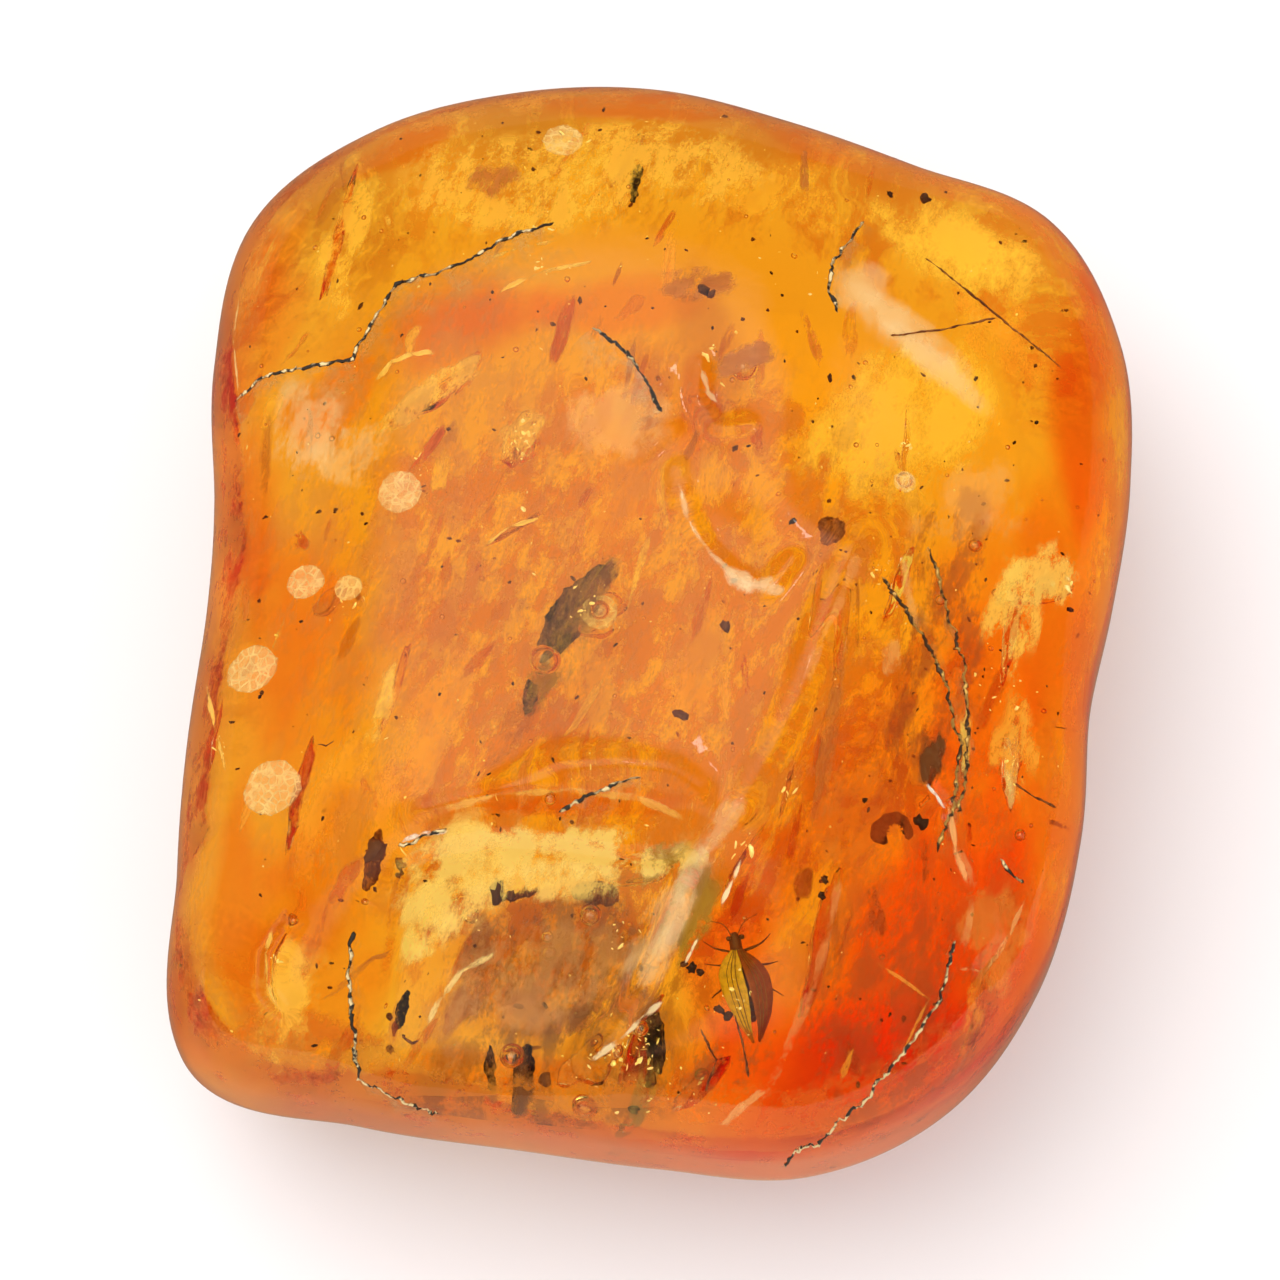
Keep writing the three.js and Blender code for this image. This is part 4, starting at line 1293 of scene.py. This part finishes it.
def creature_material(name, roughness):
    """Coloured by part, with a fine mottle and a soft sheen."""
    nodes = Nodes(name)
    place = nodes.add("TexCoord").outputs["Object"]
    mottle = nodes.add("TexNoise", {"Vector": place}, Scale=5200.0, Detail=3.0)
    shade = fade(nodes, mottle.outputs["Fac"], 0.0, 1.0, 0.55, 1.45, soft=False)
    hue = nodes.add("Attribute", attribute_name="hue")
    tone = nodes.add("VectorMath", {0: hue.outputs["Color"], "Scale": shade}, operation="SCALE")
    skin = nodes.add("BsdfPrincipled", {"Base Color": tone.outputs[0]}, Roughness=roughness)
    return nodes.finish(skin.outputs[0])


# The insect in its own frame, in millimetres: +Y towards the head, +Z up, the origin in its middle
INSECT_MIDDLE = (3.9, -17.9, 13.75)
INSECT_HEADING = 8
INSECT_PITCH = 19
BODY_PATH = ((0, 1.9, 0), (0, 0.6, 0.05), (0, -0.6, 0.02), (0, -1.6, -0.1))
BODY_RADII = (0.10, 0.24, 0.25, 0.16, 0.32, 0.38, 0.30, 0.32, 0.34, 0.30, 0.20, 0.08)
WING_PATH = ((0.10, 1.15, 0.18), (0.46, 0.1, 0.4), (0.42, -1.3, 0.28), (0.12, -2.4, 0.1))
WING_RADII = (0.1, 0.36, 0.5, 0.5, 0.38, 0.2, 0.05)
WING_VEINS = (0.0, 0.35, -0.35)
OCHRE = (1.0, 0.60, 0.03)
RUSSET = (0.42, 0.09, 0.006)
CHESTNUT = (0.20, 0.045, 0.008)
VEIN = (0.40, 0.16, 0.015)
UMBER = (0.09, 0.022, 0.005)
LEG_ROOTS = (0.95, 0.45, -0.05)
LEG_REACH = (0.7, 0.1, -0.75)
LEG_RADII = (0.05, 0.06, 0.035, 0.025, 0.015)
VEIN_RADII = (0.012, 0.018, 0.016, 0.008)
ANTENNA_PATH = ((0.05, 1.6, 0.02), (0.4, 2.3, 0.22), (0.95, 2.6, 0.1))
ANTENNA_RADII = (0.03, 0.018, 0.022, 0.015, 0.02)


class AMBER_OT_insect(bpy.types.Operator):
    """Adds the small insect with folded wings, in place of its plain solid"""
    bl_idname = "amber.insect"
    bl_label = "Folded-wing insect"

    def execute(self, context):
        bm = bmesh.new()
        bm.verts.layers.float_color.new("hue")
        turn = Euler((math.radians(INSECT_PITCH), 0, math.radians(INSECT_HEADING)), "ZYX")
        place = Matrix.Translation(INSECT_MIDDLE) @ turn.to_matrix().to_4x4()
        add_tube(bm, BODY_PATH, BODY_RADII, sides=16, count=44, flat=0.85, color=CHESTNUT, place=place)
        for ring in range(5):
            y = -0.35 - 0.26 * ring
            band = [(0.34 * math.cos(a), y, 0.30 * math.sin(a) - 0.03) for a in np.linspace(0.2, 2.9, 7)]
            add_tube(bm, band, (0.02, 0.03, 0.02), sides=6, count=14, color=DARK, place=place)
        for side in (-1, 1):
            self.half(bm, side, place)
        mesh = smooth_mesh("insect", bm)
        piece = add_object("folded_wing_insect_fine", mesh, creature_material("insect", 0.42))
        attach(piece, "root")
        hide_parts("folded_wing_insect")
        return {"FINISHED"}

    def half(self, bm, side, place):
        """One wing with its veins, three legs, an antenna and an eye."""
        slope = (side * 0.55, 0, 1)
        wing = [(x * side, y, z) for x, y, z in WING_PATH]
        tone = RUSSET if side > 0 else OCHRE
        add_tube(bm, wing, WING_RADII, sides=16, count=26, flat=0.1, up=slope, color=tone, place=place)
        for share in WING_VEINS:
            vein = [(x * side + share * side * r * 0.7, y, z + 0.07 - 0.5 * share * side * r * side)
                    for (x, y, z), r in zip(WING_PATH, (0.2, 0.6, 0.55, 0.1))]
            add_tube(bm, vein, VEIN_RADII, sides=6, count=18, color=VEIN, place=place)
        for root, reach in zip(LEG_ROOTS, LEG_REACH):
            hip = (0.06 * side, root, -0.06)
            knee = (0.85 * side, root + reach / 2, 0.02)
            foot = (1.3 * side, root + reach, -0.5)
            add_tube(bm, (hip, knee, foot), LEG_RADII, sides=8, count=14, color=CHESTNUT, place=place)
        antenna = [(x * side, y, z) for x, y, z in ANTENNA_PATH]
        add_tube(bm, antenna, ANTENNA_RADII, sides=8, count=16, color=CHESTNUT, place=place)
        eye = ((0.16 * side, 1.72, 0.08), (0.25 * side, 1.66, 0.1), (0.32 * side, 1.58, 0.08))
        add_tube(bm, eye, (0.03, 0.12, 0.13, 0.04), sides=10, count=8, color=DARK, place=place)


# The larva lies on its side in a C: the middle, the radius and the angles between which it bends
LARVA_MIDDLE = (9.5, -11.8, 14.25)
LARVA_RADIUS = 0.62
LARVA_ANGLES = (-30, 235)
LARVA_RADII = (0.1, 0.24, 0.28, 0.23, 0.3, 0.25, 0.31, 0.25, 0.31, 0.25, 0.3, 0.24, 0.26, 0.2, 0.08)


class AMBER_OT_larva(bpy.types.Operator):
    """Adds the small curled larva, in place of its plain solid"""
    bl_idname = "amber.larva"
    bl_label = "Curled larva"

    def execute(self, context):
        bm = bmesh.new()
        bm.verts.layers.float_color.new("hue")
        x, y, z = LARVA_MIDDLE
        bend = [math.radians(angle) for angle in np.linspace(*LARVA_ANGLES, 10)]
        path = [(x + LARVA_RADIUS * math.cos(a), y + LARVA_RADIUS * math.sin(a), z) for a in bend]
        add_tube(bm, path, LARVA_RADII, sides=16, count=70, color=UMBER)
        for angle in bend[1:8]:
            root = Vector((x + 0.45 * math.cos(angle), y + 0.45 * math.sin(angle), z + 0.1))
            tip = Vector((x + 0.26 * math.cos(angle + 0.2), y + 0.26 * math.sin(angle + 0.2), z + 0.02))
            add_tube(bm, (root, (root + tip) / 2, tip), (0.05, 0.04, 0.015), sides=6, count=6, color=DARK)
        piece = add_object("curled_larva_fine", smooth_mesh("larva", bm), creature_material("larva", 0.5))
        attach(piece, "root")
        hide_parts("curled_larva")
        return {"FINISHED"}


# The scraps: which looks each has, as its dark colour, its pale colour and the share of the pale one
SCRAP_LOOKS = {
    "bark": ((0.018, 0.010, 0.004), (0.55, 0.30, 0.05), 0.60),
    "plant": ((0.06, 0.036, 0.009), (0.28, 0.17, 0.025), 0.55),
    "flake": ((0.24, 0.060, 0.010), (0.62, 0.20, 0.03), 0.54),
    "seed": ((0.03, 0.008, 0.003), (0.12, 0.03, 0.008), 0.55),
}
SCRAPS = {
    "bark": ("bark_upright", "bark_splinter", "bark_clump", "twig", "stalk"),
    "plant": ("plant_shred", "shred_tail", "sprig"),
    "flake": ("brown_flake", "leaf_scrap", "leaf_flake", "fibre_bundle"),
    "seed": ("dark_seed",),
}


def scrap_material(name, dark, pale, share):
    """Rotten wood and plant tissue: two tones in fibres, torn and rough."""
    nodes = Nodes(name)
    place = nodes.add("TexCoord").outputs["Object"]
    fibre = nodes.add("Mapping", {"Vector": place}, vector_type="TEXTURE")
    fibre.inputs["Rotation"].default_value = (0, 0, math.radians(FLOW_TURN))
    fibre.inputs["Scale"].default_value = (3.0, 1.0, 1.0)
    grain = nodes.add("TexNoise", {"Vector": fibre.outputs[0]}, Scale=4200.0, Detail=4.0, Roughness=0.65)
    tone = fade(nodes, grain.outputs["Fac"], share - 0.07, share + 0.07)
    mix = nodes.add("Mix", {"Factor": tone}, data_type="RGBA")
    mix.inputs["A"].default_value = (*dark, 1)
    mix.inputs["B"].default_value = (*pale, 1)
    bump = nodes.add("Bump", {"Height": grain.outputs["Fac"]}, Strength=0.6, Distance=0.0001)
    looks = {"Base Color": mix.outputs["Result"], "Normal": bump.outputs["Normal"]}
    scrap = nodes.add("BsdfPrincipled", looks, Roughness=0.7)
    return nodes.finish(scrap.outputs[0])


class AMBER_OT_scraps(bpy.types.Operator):
    """Gives the scraps of bark and plant their ragged form and their looks"""
    bl_idname = "amber.scraps"
    bl_label = "Bark and plant scraps"

    def execute(self, context):
        rags = bpy.data.textures.new("rags", "CLOUDS")
        rags.noise_scale = 0.0005
        rags.noise_depth = 3
        for look, names in SCRAPS.items():
            material = scrap_material(look, *SCRAP_LOOKS[look])
            for name in names:
                piece = bpy.data.objects[name]
                piece.data.materials.clear()
                piece.data.materials.append(material)
                piece.modifiers.new("weld", "WELD").merge_threshold = 0.000001
                rounder = piece.modifiers.new("rounder", "SUBSURF")
                rounder.levels = rounder.render_levels = 3
                ragged = piece.modifiers.new("ragged", "DISPLACE")
                ragged.texture = rags
                ragged.texture_coords = "LOCAL"
                ragged.strength = 0.00055
                ragged.mid_level = 0.5
        return {"FINISHED"}


class AMBER_PT_panel(bpy.types.Panel):
    """Lists the nugget's pieces and their settings"""
    bl_idname = "AMBER_PT_panel"
    bl_label = "Amber nugget"
    bl_space_type = "VIEW_3D"
    bl_region_type = "UI"
    bl_category = "Amber"

    def draw(self, context):
        for settings in (context.scene.amber_resin, context.scene.amber_stage):
            for name in settings.__annotations__:
                self.layout.prop(settings, name)
        for operator in OPERATORS:
            self.layout.operator(operator.bl_idname)


OPERATORS = (
    AMBER_OT_stage, AMBER_OT_nugget, AMBER_OT_veils, AMBER_OT_rim_haze, AMBER_OT_spangles, AMBER_OT_specks,
    AMBER_OT_glints, AMBER_OT_cracks, AMBER_OT_fissures, AMBER_OT_insect, AMBER_OT_larva, AMBER_OT_scraps,
)
SETTINGS = {"amber_resin": AmberSettings, "amber_stage": StageSettings}


def register():
    noise.seed_set(NOISE_SEED)
    for kind in (*SETTINGS.values(), *OPERATORS, AMBER_PT_panel):
        bpy.utils.register_class(kind)
    for name, kind in SETTINGS.items():
        setattr(bpy.types.Scene, name, bpy.props.PointerProperty(type=kind))


def unregister():
    for name in SETTINGS:
        delattr(bpy.types.Scene, name)
    for kind in (AMBER_PT_panel, *OPERATORS, *SETTINGS.values()):
        bpy.utils.unregister_class(kind)


def main():
    register()
    for operator in OPERATORS:
        group, name = operator.bl_idname.split(".")
        getattr(getattr(bpy.ops, group), name)()


if __name__ == "__main__":
    main()
